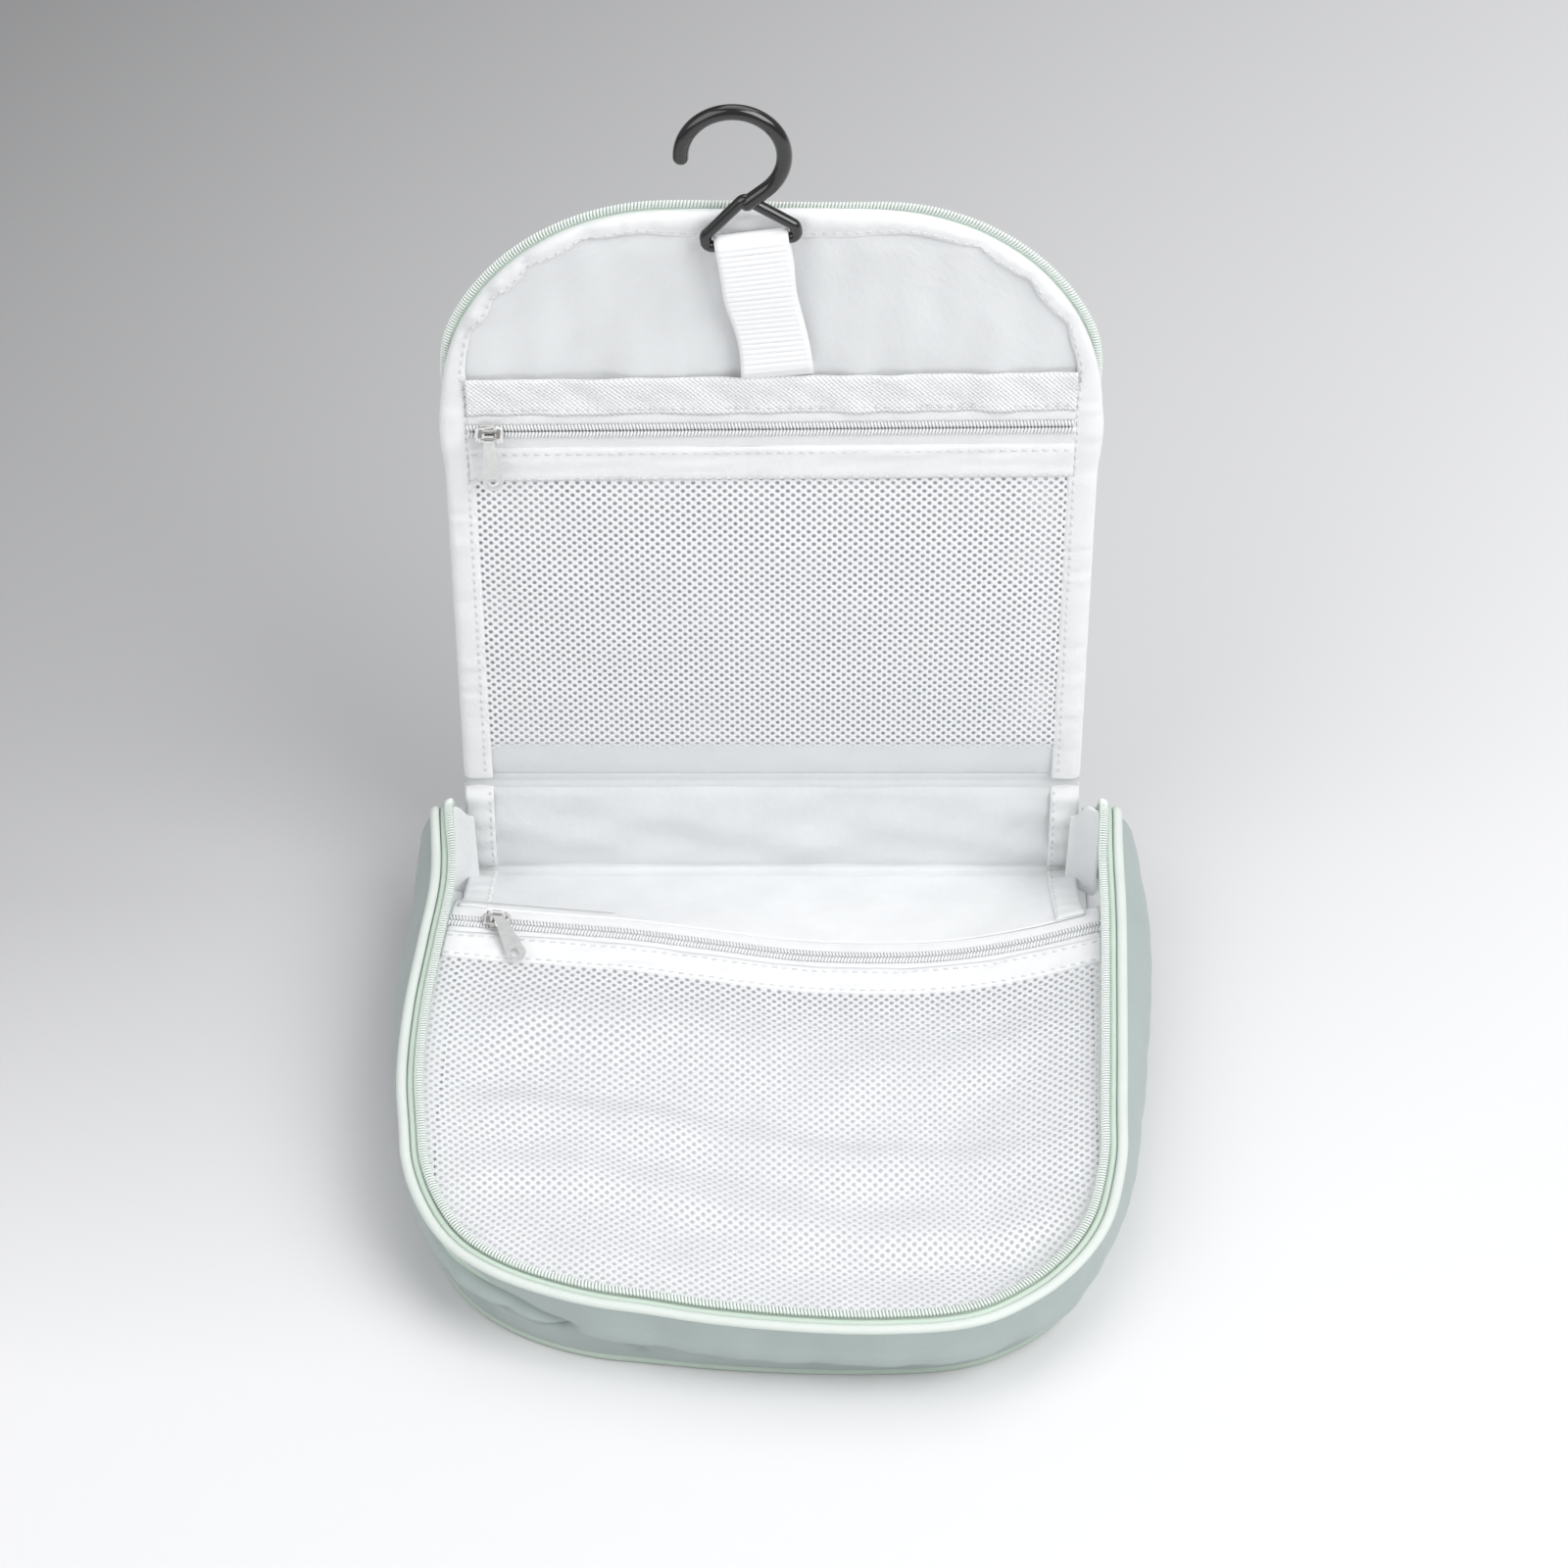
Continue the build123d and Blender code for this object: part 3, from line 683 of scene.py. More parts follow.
def finishes():
    """All the bag's finishes, made once."""
    made = bpy.data.materials
    if "mint_cloth" not in made:
        c = bpy.context.scene.bag_colours
        woven("mint_cloth", tuple(c.mint), 0.42, 0.05, 0.04, 0.52, crumple=0.35, sheen_weight=0.25)
        woven("mint_tape", tuple(c.mint_tape), 0.6, 0.1, 0.04, 0.7)
        # painted light and shade on one colour: the pale mint is made lighter for the coil, standing in for
        # light in its shaded place low beside the net, and a little darker for the piping, which stands in
        # the open on the rim
        woven("mint_coil", scaled(tuple(c.mint_pale), 1.12), 0.5, 0.03, 0.03, 0.45, crumple=0.02)
        woven("mint_piping", scaled(tuple(c.mint_pale), 0.94), 0.5, 0.06, 0.03, 0.55, crumple=0.08)
        woven("base_piping", scaled(tuple(c.mint_tape), 0.84), 0.5, 0.06, 0.03, 0.55, crumple=0.08)
        woven("white_cloth", tuple(c.white), 0.5, 0.08, 0.035, 0.65, crumple=0.4)
        woven("white_edge", tuple(c.white), 0.6, 0.1, 0.03, 0.75, crumple=0.5)
        woven("lining_cloth", tuple(c.lining), 0.35, 0.03, 0.03, 0.46, crumple=0.35, sheen_weight=0.1)
        # painted glow: the inner lining emits a faint light of its own colour, standing in for light that
        # comes through the thin cloth and bounces inside the case
        painted_glow = {"emission_color": (*tuple(c.lining), 1.0), "emission_strength": 0.2}
        woven("inner_lining_painted_glow", tuple(c.lining), 0.35, 0.03, 0.03, 0.5, crumple=0.3, **painted_glow)
        woven("white_tape", tuple(c.white), 0.8, 0.16, 0.03, 0.8)
        woven("white_coil", tuple(c.white), 0.5, 0.02, 0.03, 0.4, crumple=0.02)
        woven("white_net", tuple(c.net), 0.45, 0.08, 0.03, 0.6, crumple=0.06)
        woven("cover_thread", scaled(tuple(c.net), 0.96), 0.45, 0.08, 0.03, 0.6, crumple=0.06)
        woven("white_webbing", scaled(tuple(c.white), 0.73), 1.05, 0.45, 0.05, 0.8, crumple=0.1)
        woven("white_thread", scaled(tuple(c.white), 0.9), 0.4, 0.1, 0.05, 0.6, use_uv=False)
        woven("hem_cloth", scaled(tuple(c.white), 1.06), 1.7, 0.5, 0.05, 0.85, crumple=0.6)
        moulded("gloss_plastic", tuple(c.plastic), 0.16)
        plated("bright_metal", tuple(c.metal))
    return made


# ---- the case ----
def wall_grid(count, levels, sizes, inside=0.0):
    """The gusset: for each place along the D, a line from the base outline up to the rim outline. The level
    w runs from 0 at the base to 1 at the rim, and a share for each level says how far the line has moved from
    one outline to the other: at the front an upper fold hangs over a lower one, at the sides it swells past
    the rim."""
    bx, by, _, _ = d_path(
        BASE_HALF_WIDTH - inside, GUSSET_REAR_Y, BASE_ROUND + inside, BASE_RADIUS - inside, CROWN, count
    )
    half_width, round_end = RIM_HALF_WIDTH - inside - 0.3, RIM_ROUND + inside + 0.3
    rx, rq, rnx, rny = d_path(half_width, GUSSET_REAR_Y, round_end, RIM_RADIUS - inside, CROWN, count)
    base = pulled(stack(bx, by, BASE_TOP - 0.6), BASE_PULL)
    rim = pulled(stack(rx, 0 * rx, RIM_MID) + np.multiply.outer(rq, RIM_BACK))
    w = np.linspace(0, 1, levels)[None, :]
    front = smooth((-by - 66) / 34)[:, None]
    near = smooth_line(w, (0, 0.2, 0.4, 0.46, 0.5, 0.54, 0.78, 1), (0, 0.25, 0.5, 0.7, 1.1, 1.17, 1.08, 1))
    swell = np.where(
        bx < 0,
        smooth_line(by, (-120, -60, -25, 15, 50, 80, 116), (0, 0, 0.05, 0.4, 0.85, 1, 0.6)),
        smooth_line(by, (-120, -90, -50, -20, 77, 116), (0, 0, 0.5, 0.8, 1, 0.6)),
    )[:, None]
    levels_at = (0, 0.15, 0.4, 0.6, 0.8, 1)
    plain = smooth_line(w, levels_at, (0, 0.3, 0.66, 0.86, 0.96, 1))
    swollen = smooth_line(w, levels_at, (0, 0.9, 1.9, 2.15, 1.75, 1))
    beside = plain + (swollen - plain) * swell
    share = front * near + (1 - front) * beside
    out = stack(rnx, rny, 0 * rnx)[:, None]
    grid = base[:, None] * (1 - share[..., None]) + rim[:, None] * share[..., None]
    grid[..., 2] = base[:, None, 2] * (1 - w) + rim[:, None, 2] * w
    far = GUSSET_LENGTH * np.linspace(0, 1, count)[:, None]
    relief = sizes.wrinkle / MM * (0.3 + 0.5 * front) * ripples(far, 30 * w, 21, 16, 90) * np.sin(math.pi * w)
    x = grid[..., 0]
    relief -= front * sum(groove(x, w, *tuck) for tuck in TUCKS) * (x < 0)
    ear = smooth((grid[..., 1] - GUSSET_REAR_Y + 14) / 14)
    grid += out * relief[..., None]
    grid[..., 2] -= EAR_RADIUS * (1 - np.sqrt(np.maximum(0, 1 - np.clip(ear, 0, 1) ** 2 * 0.96))) * w**3
    return grid


def groove(x, w, start, end, width, depth):
    """A soft valley along the line between two (x, level) points: depth times a bell curve over the distance
    from the line, fading out beyond its ends. LEVEL_MM millimetres across count as one level."""
    dx, dw = (end[0] - start[0]) / LEVEL_MM, end[1] - start[1]
    px, pw = (x - start[0]) / LEVEL_MM, w - start[1]
    t = np.clip((px * dx + pw * dw) / (dx * dx + dw * dw), 0, 1)
    off = np.hypot(px - t * dx, pw - t * dw)
    return depth * np.exp(-((off / width) ** 2))


def joined_halves(outline, columns):
    """Rows that join a D outline's left half to its right half, straight across."""
    count = len(outline) // 2
    left, right = outline[:count, None], outline[:count:-1, None]
    t = np.linspace(0, 1, columns)[None, :, None]
    return left * (1 - t) + right * t


def base_grid(level, count, inset, rear, sag=0.0):
    """A base layer: straight rows across the D, with an uneven sag."""
    x, y, _, _ = d_path(
        BASE_HALF_WIDTH - inset, rear, BASE_ROUND + inset, BASE_RADIUS - inset, CROWN, 2 * count + 1
    )
    grid = pulled(joined_halves(stack(x, y, level), 61), BASE_PULL)
    grid[..., 2] += sag * ripples(grid[..., 0], grid[..., 1], 3, 30, 120)
    return grid


class Step:
    """What the sewing steps share: each runs its own sew with the bag's sizes."""

    def execute(self, context):
        self.sew(context.scene.bag_sizes)
        return {"FINISHED"}


class BAG_OT_base(Step, bpy.types.Operator):
    """Sews the base: outer panel, lining and piping"""

    bl_idname = "bag.base"
    bl_label = "Base"

    def sew(self, sizes):
        cloth_piece(
            "base_cloth", base_grid(0.75, 90, 2.0, FOLD_Y - 2.5), "mint_cloth", "outer_fabric", 0.8,
            replaces=("base_panel", "base_board"), turn=True,
            flat=(0.226, 0.242), held="laid", rests_on=["base_board"], area=0.0510,
        )
        cloth_piece(
            "base_lining_cloth", base_grid(3.0, 90, 2.0, FOLD_Y - 4.5, 0.35), "inner_lining_painted_glow",
            "lining_fabric", 0.5, replaces=("base_lining",),
            flat=(0.228, 0.242), held="laid", rests_on=["base_cloth"], area=0.0510,
        )
        half_width, round_end = BASE_HALF_WIDTH - 0.2, BASE_ROUND + 0.2
        x, y, nx, ny = d_path(half_width, GUSSET_REAR_Y, round_end, BASE_RADIUS, CROWN, 420)
        line = pulled(stack(x, y, 1.75), BASE_PULL)
        rings = band(line, stack(-nx, -ny, 0), repeated(UP, line), oval(0.2, 0, 1.35, 1.55))
        rounded("base_piping_cord", rings, "base_piping", "piping", replaces=("base_piping",))


class BAG_OT_gusset(Step, bpy.types.Operator):
    """Sews the gusset: outer cloth and lining"""

    bl_idname = "bag.gusset"
    bl_label = "Gusset"

    def sew(self, sizes):
        cloth_piece(
            "gusset_cloth", wall_grid(460, 64, sizes), "mint_cloth", "outer_fabric",
            sizes.cloth / MM, replaces=("gusset_outer",),
            flat=(0.650, 0.040), held="gathered", rests_on=["base_piping_cord"],
        )
        cloth_piece(
            "gusset_lining_cloth", wall_grid(460, 40, sizes, 1.6), "inner_lining_painted_glow", "lining_fabric",
            0.5, replaces=("gusset_lining",),
            flat=(0.640, 0.040), held="gathered", rests_on=["base_lining_cloth"],
        )
        t = np.linspace(0, 1, 26)[:, None]
        w = np.linspace(0, 1, 40)[None, :]
        for side, name in SIDES:
            x = side * (117.6 + 1.0 * w - 10.2 * t)
            y = GUSSET_REAR_Y - 7.0 + 8.6 * t**0.7 - 0.8 * np.sin(math.pi * w) * t
            top = 44.2 - 8.2 * smooth((t - 0.35) / 0.65)
            z = 3.6 + (top - 3.6) * w
            cloth_piece(
                f"ear_tab_{name}", stack(x, y, z), "white_cloth", "lining_fabric", 0.8,
                turn=side > 0, flat=(0.013, 0.038), held="folded", rests_on=["gusset_lining_cloth"],
            )


class BAG_OT_rim(Step, bpy.types.Operator):
    """Sews the rim: piping, zip tape and coil"""

    bl_idname = "bag.rim"
    bl_label = "Rim"

    def sew(self, sizes):
        line, inward, up = rim_path(560)
        rings = band(line, inward, up, oval(1.5, 0.55, 1.75, 1.35))
        rounded("rim_piping_cord", rings, "mint_piping", "piping", replaces=("rim_piping",))
        cloth_piece(
            "rim_zip_cloth", band(line, inward, up, RIM_TAPE), "mint_tape", "mint_zip", 0.45,
            replaces=("rim_zip_tape",),
            flat=(0.690, 0.0145), held="gathered", rests_on=["gusset_cloth"],
        )
        rings = coil_rings(sizes.coil_pitch / MM, line + 7.4 * inward + 1.5 * up, inward, up)
        rounded("rim_zip_teeth", rings, "mint_coil", "mint_zip", replaces=("rim_zip_coil",))


class BAG_OT_zip_ends(Step, bpy.types.Operator):
    """Sews the main zip's closed ends behind the gusset's rear ends"""

    bl_idname = "bag.zip_ends"
    bl_label = "Main zip ends"

    def sew(self, sizes):
        z = np.linspace(4.6, 39.0, 40)
        up = repeated((0.0, 1.0, 0.0), z)
        for side, name in SIDES:
            line = stack(side * ZIP_END_X, ZIP_END_Y, z)
            away = repeated((side, 0.0, 0.0), z)
            cloth_piece(
                f"zip_end_tape_{name}", band(line, away, up, spread(-4.4, 5.7, 8)), "mint_tape",
                "mint_zip", 0.5, replaces=(f"main_zip_end_{name}",),
                flat=(0.0101, 0.0344), held="folded", rests_on=[f"ear_tab_{name}"],
            )
            for hand, place in ((-1.0, "inner"), (1.0, "outer")):
                rings = coil_rings(
                    sizes.coil_pitch / MM, line + 1.25 * hand * away + 1.1 * up, away, up, 0.8, 0.55, 0.3
                )
                rounded(f"zip_end_teeth_{name}_{place}", rings, "mint_coil", "mint_zip")


class BAG_OT_cover_net(Step, bpy.types.Operator):
    """Knits the net cover"""

    bl_idname = "bag.cover_net"
    bl_label = "Cover net"

    def sew(self, sizes):
        def keep(x, y):
            inside = d_margin(x, y, RIM_HALF_WIDTH, 200.0, FRONT_Y, RIM_RADIUS, CROWN)
            return (inside > 7.2) & (y < 45.5)

        def place(x, y, proud):
            return pulled(stack(x, y, cover_height(x, y) + proud))

        net_piece(
            "cover_net_cloth", place, keep, ((-118, 118), (-122, 46)), sizes, "cover_thread", "white_net",
            replaces=("cover_net",),
            flat=(0.232, 0.165), held="hung", rests_on=["rim_zip_cloth"], area=0.0245,
        )


def cover_band(y0, y1, columns, rise, ripple=0.0, seed=1):
    """A band along the cover's zip line: rows over x, columns over y, at the zip line's height plus a
    rise."""
    x = np.linspace(-115.5, 115.5, 260)[:, None]
    y = np.linspace(y0, y1, columns)[None, :]
    z = zip_height(x) + np.asarray(rise) + ripple * ripples(x, 3 * y, seed, 14, 70)
    return pulled(stack(x + 0 * y, y + 0 * x, z + 0 * y))


class BAG_OT_cover_zip(Step, bpy.types.Operator):
    """Sews the cover's hem and its zip"""

    bl_idname = "bag.cover_zip"
    bl_label = "Cover zip"

    def sew(self, sizes):
        hem_rise = np.array([0.0, 0.55, 0.6, 0.5, 0.55, 0.6, 0.55, 0.5, 0.55, 0.4])
        cloth_piece(
            "cover_hem_cloth", cover_band(42.6, 55.6, 10, hem_rise, 0.25, 8), "white_cloth",
            "white_net", 0.7, replaces=("cover_hem",), turn=True,
            flat=(0.235, 0.026), held="hung", rests_on=["cover_net_cloth"], area=0.0031,
        )
        for low, high, name in ((46.0, 60.4, "front"), (61.6, 76.0, "rear")):
            rise = np.linspace(-1.0, 0.1, 6) if name == "front" else np.array([0.1, 0.15, 0, -1, -2.4, -4])
            cloth_piece(
                f"cover_tape_{name}", cover_band(low, high, 6, rise), "white_tape", "white_zip", 0.5,
                replaces=(f"cover_zip_tape_{name}",), turn=True,
                flat=(0.235, 0.0145), held="hung", rests_on=["cover_hem_cloth"],
            )
        for hand, name in ((-1.0, "front"), (1.0, "rear")):
            line = cover_band(COVER_ZIP_Y + hand * CHAIN_HALF, COVER_ZIP_Y + 0.01, 2, 0.75)[:, 0]
            inward, up = repeated((0.0, hand, 0.0), line), repeated(UP, line)
            rings = coil_rings(sizes.coil_pitch / MM, line, inward, up, *SMALL_COIL)
            rounded(
                f"cover_teeth_{name}", rings, "white_coil", "white_zip",
                replaces=(f"cover_zip_coil_{name}",),
            )
        lines = [cover_band(y, y + 0.1, 2, 0.95, 0.25, 8)[:, 0] for y in (53.2, 44.0)]
        rows = [(line, repeated(ACROSS, line), repeated(UP, line)) for line in lines]
        stitches("cover_stitches", rows, "white_thread", "white_zip", sizes)


def flap_grid(x0, x1, columns, rise):
    """The sloping flap: each line runs from the cover's zip line down to the base fold along a soft curve,
    with broad wrinkles."""
    x = np.linspace(x0, x1, columns)[None, :]
    t = np.linspace(0, 1, 60)[:, None]
    y = FLAP_START_Y + t * (FLAP_END_Y - FLAP_START_Y)
    front = zip_height(np.clip(x, -115, 115))
    z = front * (1 - t) ** 1.15 + 4.4 * (1 - (1 - t) ** 1.15)
    loose = np.sin(math.pi * t)
    z = z + 1.6 * loose * np.sin(x / 34 + 1) + 0.9 * ripples(x, y, 31, 28, 90) * loose
    z = z - 0.9 * smooth((t - 0.9) / 0.1)
    return stack(x + 0 * t, y + 0 * x, z + rise)


class BAG_OT_flap(Step, bpy.types.Operator):
    """Sews the flap between the base fold and the cover's zip, with its bound edges"""

    bl_idname = "bag.flap"
    bl_label = "Rear flap"

    def sew(self, sizes):
        cloth_piece(
            "flap_cloth", flap_grid(-PANEL_HALF_WIDTH, PANEL_HALF_WIDTH, 130, 0.0), "white_cloth",
            "white_net", 0.6, replaces=("rear_flap",),
            flat=(0.222, 0.060), held="hung", rests_on=["cover_tape_rear"],
        )
        rows = []
        for side, name in SIDES:
            x0, x1 = sorted((side * (PANEL_HALF_WIDTH + 0.3), side * (PANEL_HALF_WIDTH - EDGE_WIDTH)))
            grid = flap_grid(x0, x1, 9, 0.75)
            grid[..., 2] += 0.35 * np.sin(np.linspace(0, math.pi, 9))[None, :]
            grid[..., 2] += 0.3 * np.sin(grid[..., 1] / 1.6)
            cloth_piece(
                f"flap_edge_{name}", grid, "white_edge", "white_binding", 0.6,
                replaces=(f"rear_flap_binding_{name}",),
                flat=(0.010, 0.060), held="folded", rests_on=["flap_cloth"],
            )
            line = grid[2:-1, 7 if side < 0 else 1] + [0, 0, 0.35]
            heading = unit(np.gradient(line, axis=0))
            rows.append((line, heading, repeated(UP, line)))
        stitches("flap_stitches", rows, "white_thread", "white_binding", sizes)


# ---- the spine and the fold cloths ----
def upright(x0, x1, columns, z0, z1, rows, front, swell=0.0, seed=0, wrinkle=0.0, sink=0.0):
    """An upright panel: front millimetres ahead of the fold plane, swollen forward in the middle of its
    height and sunk back at its upper and lower ends."""
    x = np.linspace(x0, x1, columns)[None, :]
    z = np.linspace(z0, z1, rows)[:, None]
    t = (z - z0) / (z1 - z0)
    fade = np.sin(math.pi * t)
    ahead = front + swell * fade + wrinkle * fade * ripples(x, 1.6 * z, seed, 26, 110)
    ahead = ahead - sink * (smooth((z - z1 + 5.0) / 5.0) + smooth((z0 + 5.0 - z) / 5.0))
    return stack(x + 0 * z, FOLD_Y - ahead, z + 0 * x)


class BAG_OT_spine(Step, bpy.types.Operator):
    """Sews the spine and the cloth across both fold lines"""

    bl_idname = "bag.spine"
    bl_label = "Spine"

    def sew(self, sizes):
        wide = PANEL_HALF_WIDTH
        cloth_piece(
            "spine_cloth", upright(-wide, wide, 120, 3.4, 45.8, 40, -0.55, 0.2, 4, 0.12), "mint_cloth",
            "outer_fabric", 0.8, body="spine", replaces=("spine_outer",), turn=True,
            flat=(0.222, 0.044), held="stretched", rests_on=["lid_fold_outer"],
        )
        cloth_piece(
            "spine_lining_cloth", upright(-wide, wide, 120, 4.4, 45.2, 60, 1.3, 2.6, 6, 1.3, 0.7),
            "lining_cloth", "lining_fabric", 0.6, body="spine", replaces=("spine_lining",),
            flat=(0.222, 0.044), held="hung", rests_on=["lid_fold_lining"],
        )
        rows = []
        for side, name in SIDES:
            x0, x1 = sorted((side * (wide + 0.4), side * (wide - EDGE_WIDTH)))
            grid = upright(x0, x1, 9, 4.0, 45.4, 60, 2.3, 2.5, sink=1.5)
            grid[..., 1] -= 0.3 * np.sin(grid[..., 2] / 1.5) + 0.35 * np.sin(np.linspace(0, math.pi, 9))
            cloth_piece(
                f"spine_edge_{name}", grid, "white_edge", "white_binding", 0.7,
                body="spine", replaces=(f"spine_binding_{name}",),
                flat=(0.010, 0.043), held="folded", rests_on=["spine_lining_cloth"],
            )
            line = grid[2:-2, 7 if side < 0 else 1] - [0, 0.35, 0]
            rows.append((line, repeated(UP, line), repeated(FORWARD, line)))
        stitches("spine_stitches", rows, "white_thread", "white_binding", sizes, body="spine")
        self.fold_cloths()

    def fold_cloths(self):
        """Short cloths that bend across the fold lines, each from a row of (y, z) places."""
        x = np.linspace(-PANEL_HALF_WIDTH, PANEL_HALF_WIDTH, 80)
        y = FOLD_Y
        lid_fold = ("spine", "lid", (0, y, 45.2), (0, y, 48.8))
        base_fold = ("case", "spine", (0, y - 2.0, 0.4), (0, y + 0.6, 4.2))
        rows = (
            ("lid_fold_outer", "mint_cloth", "outer_fabric", lid_fold, False,
             [(0.55, 41.6), (0.6, 44.0), (0.62, 46.0), (0.62, 47.0), (0.62, 48.0), (0.6, 50.0), (0.5, 52.4)]),
            ("lid_fold_lining", "lining_cloth", "lining_fabric", lid_fold, True,
             [(-0.6, 41.4), (-0.95, 43.4), (-1.0, 45.2), (-0.75, 47.0), (-1.0, 48.8), (-0.95, 50.6),
              (-0.6, 52.6)]),
            ("base_fold_outer", "mint_cloth", "outer_fabric", base_fold, False,
             [(-5.0, 0.75), (-3.0, 0.6), (-1.0, 0.7), (0.1, 1.1), (0.55, 2.0), (0.7, 3.4), (0.6, 5.4)]),
            ("base_fold_lining", "lining_cloth", "lining_fabric", base_fold, True,
             [(-10.0, 3.2), (-7.0, 3.9), (-4.6, 4.0), (-2.7, 4.0), (-1.5, 4.7), (-1.05, 6.6), (-0.5, 9.0)]),
        )
        for name, finish, slot, blend, inner, places in rows:
            at = np.linspace(0, 1, len(places))
            back, height = (smooth_line(np.linspace(0, 1, 19), at, p)[:, None] for p in zip(*places))
            grid = stack(x, y + back, height)
            width = max(float(travelled(grid[:, 0])[-1]) * MM, 0.01)
            cloth_piece(
                name, grid, finish, slot, 0.6, turn=not inner, blend=blend,
                flat=(0.222, width), held="folded", rests_on=["spine_cloth"],
            )


# ---- the lid ----
def lid_grid(count, inset, start, depth):
    """A lid layer: straight rows across the outline, and depth gives how far forward each point stands."""
    x, s, _, _ = d_path(
        PANEL_HALF_WIDTH - inset, start, LID_REACH - inset, LID_RADIUS - inset, LID_CROWN, 2 * count + 1
    )
    x, s = np.moveaxis(joined_halves(stack(x, s), 151), -1, 0)
    return lid_points(x, s, depth(x, s))


class BAG_OT_lid(Step, bpy.types.Operator):
    """Sews the lid's outer cloth and lining"""

    bl_idname = "bag.lid"
    bl_label = "Lid panels"

    def sew(self, sizes):
        wrinkle = sizes.wrinkle / MM

        def outer_depth(x, s):
            inside = d_margin(x, s, PANEL_HALF_WIDTH, -50.0, LID_REACH, LID_RADIUS, LID_CROWN)
            seam = 0.5 * np.exp(-(((inside - 4.5) / 0.7) ** 2))
            return -0.75 + seam + 0.12 * ripples(x, s, 11, 40, 140)

        def lining_depth(x, s):
            tall = ripples(2.2 * x, 0.35 * s, 12, 24, 110) + 0.5 * ripples(x, s, 13, 18, 60)
            hang = smooth((s - 4) / 20) * smooth((LID_REACH - 6 - s) / 10) * smooth((106 - np.abs(x)) / 12)
            pinch = smooth((s - 168) / 14)
            level = 0.7 + 1.2 * smooth((s - 1) / 8)
            return level + hang * (0.6 + 0.45 * wrinkle * tall * (0.35 + 0.75 * pinch))

        cloth_piece(
            "lid_cloth", lid_grid(110, 0.4, LID_START, outer_depth), "mint_cloth", "outer_fabric", 0.6,
            body="lid", replaces=("lid_outer", "lid_board"),
            flat=(0.222, 0.244), held="stretched", rests_on=["lid_fold_outer"], area=0.0516,
        )
        cloth_piece(
            "lid_lining_cloth", lid_grid(110, 1.0, LID_START, lining_depth), "lining_cloth",
            "lining_fabric", 0.5, body="lid", replaces=("lid_lining",), turn=True,
            flat=(0.220, 0.243), held="hung", rests_on=["lid_fold_lining"], area=0.0508,
        )


class BAG_OT_lid_edge(Step, bpy.types.Operator):
    """Sews the lid's puckered bound edge and its main zip"""

    bl_idname = "bag.lid_edge"
    bl_label = "Lid edge and zip"

    def sew(self, sizes):
        line, inward, up = lid_path(900, 3.0)
        far = travelled(line)[:, None]
        reach = line[:, 2:3] - FOLD_HEIGHT
        inset, rise = np.array(LID_EDGE).T[:, None]
        across = np.array(LID_EDGE_LOOSE)[None, :]
        curved = smooth((reach - 150) / 40)
        middle = smooth((54 - np.abs(line[:, :1])) / 34) * smooth((reach - 200) / 20)
        narrow = 1 - 0.46 * smooth((reach - 166) / 26) * (1 - middle) - 0.04 * middle
        pinch = sum(np.exp(-(((line[:, :1] - x) / wide) ** 2)) for x, wide in PINCHES) * curved
        shoulder = np.exp(-(((reach - 157) / 11) ** 2))
        gather = 0.35 - 0.05 * curved
        phase = far / 6.3 + 1.4 * ripples(far, 0 * far, 17, 30, 90)
        folds = np.sin(2 * math.pi * phase / 2.3) + 0.5 * np.sin(2 * math.pi * phase / 1.37 + 1)
        inner = np.clip(inset / 10.0, 0, 1)
        height = rise + sizes.pucker / MM * 0.62 * gather * across * folds
        height = height + (0.7 * shoulder - 1.3 * pinch) * across - middle * smooth(inner * 2.4 - 0.9)
        shift = inset * narrow + 0.3 * gather * across * np.sin(2 * math.pi * phase / 3.1 + 2)
        shift = shift + (0.3 * (curved - pinch) * (1 - middle) - 1.1 * pinch) * inner
        shift = shift - 1.3 * shoulder * (1 - inner)
        grid = line[:, None] + inward[:, None] * shift[..., None] + up[:, None] * height[..., None]
        cloth_piece(
            "lid_edge_cloth", grid, "white_edge", "white_binding", 0.4, body="lid",
            replaces=("lid_binding",), turn=True,
            flat=(0.644, 0.018), held="gathered", rests_on=["lid_lining_cloth"],
        )
        p = grid[:, 9] + 0.3 * up
        row = (p[4:-4], unit(np.gradient(p, axis=0))[4:-4], up[4:-4])
        stitches("lid_edge_stitches", [row], "white_thread", "white_binding", sizes, body="lid")
        self.zip_half(sizes)

    def zip_half(self, sizes):
        """The lid's half of the main zip: beside the edge at the top, tucked behind it lower down."""
        line, inward, up = lid_path(700, 6.0)
        halved = 0.5 * smooth((46 - np.abs(line[:, :1] - 12)) / 40)
        shown = smooth((line[:, 2:3] - FOLD_HEIGHT - 170) / 30) * (1 - halved)
        out = np.array([-12.0, -8.0, -4.0, -1.0, 0.3, 1.3, 2.2])[None, :]
        out = np.where(out > -4, out * (0.4 + 0.6 * shown) - 2.0 * (1 - shown), out)
        back = (1.5 - 1.2 * shown) * smooth((out + 5) / 4) - 0.4 * smooth((-out - 2) / 3)
        tape = line[:, None] - inward[:, None] * out[..., None] - up[:, None] * back[..., None]
        cloth_piece(
            "lid_zip_cloth", tape, "mint_tape", "mint_zip", 0.45,
            body="lid", replaces=("lid_zip_tape",),
            flat=(0.640, 0.0145), held="gathered", rests_on=["lid_cloth"],
        )
        centre = line - inward * (2.5 * shown - 0.9 * (1 - shown)) - up * (1.9 - 1.9 * shown)
        rings = coil_rings(sizes.coil_pitch / MM, centre, inward, up, 1.15, 0.5, 0.44)
        rounded("lid_zip_teeth", rings, "mint_coil", "mint_zip", body="lid", replaces=("lid_zip_coil",))


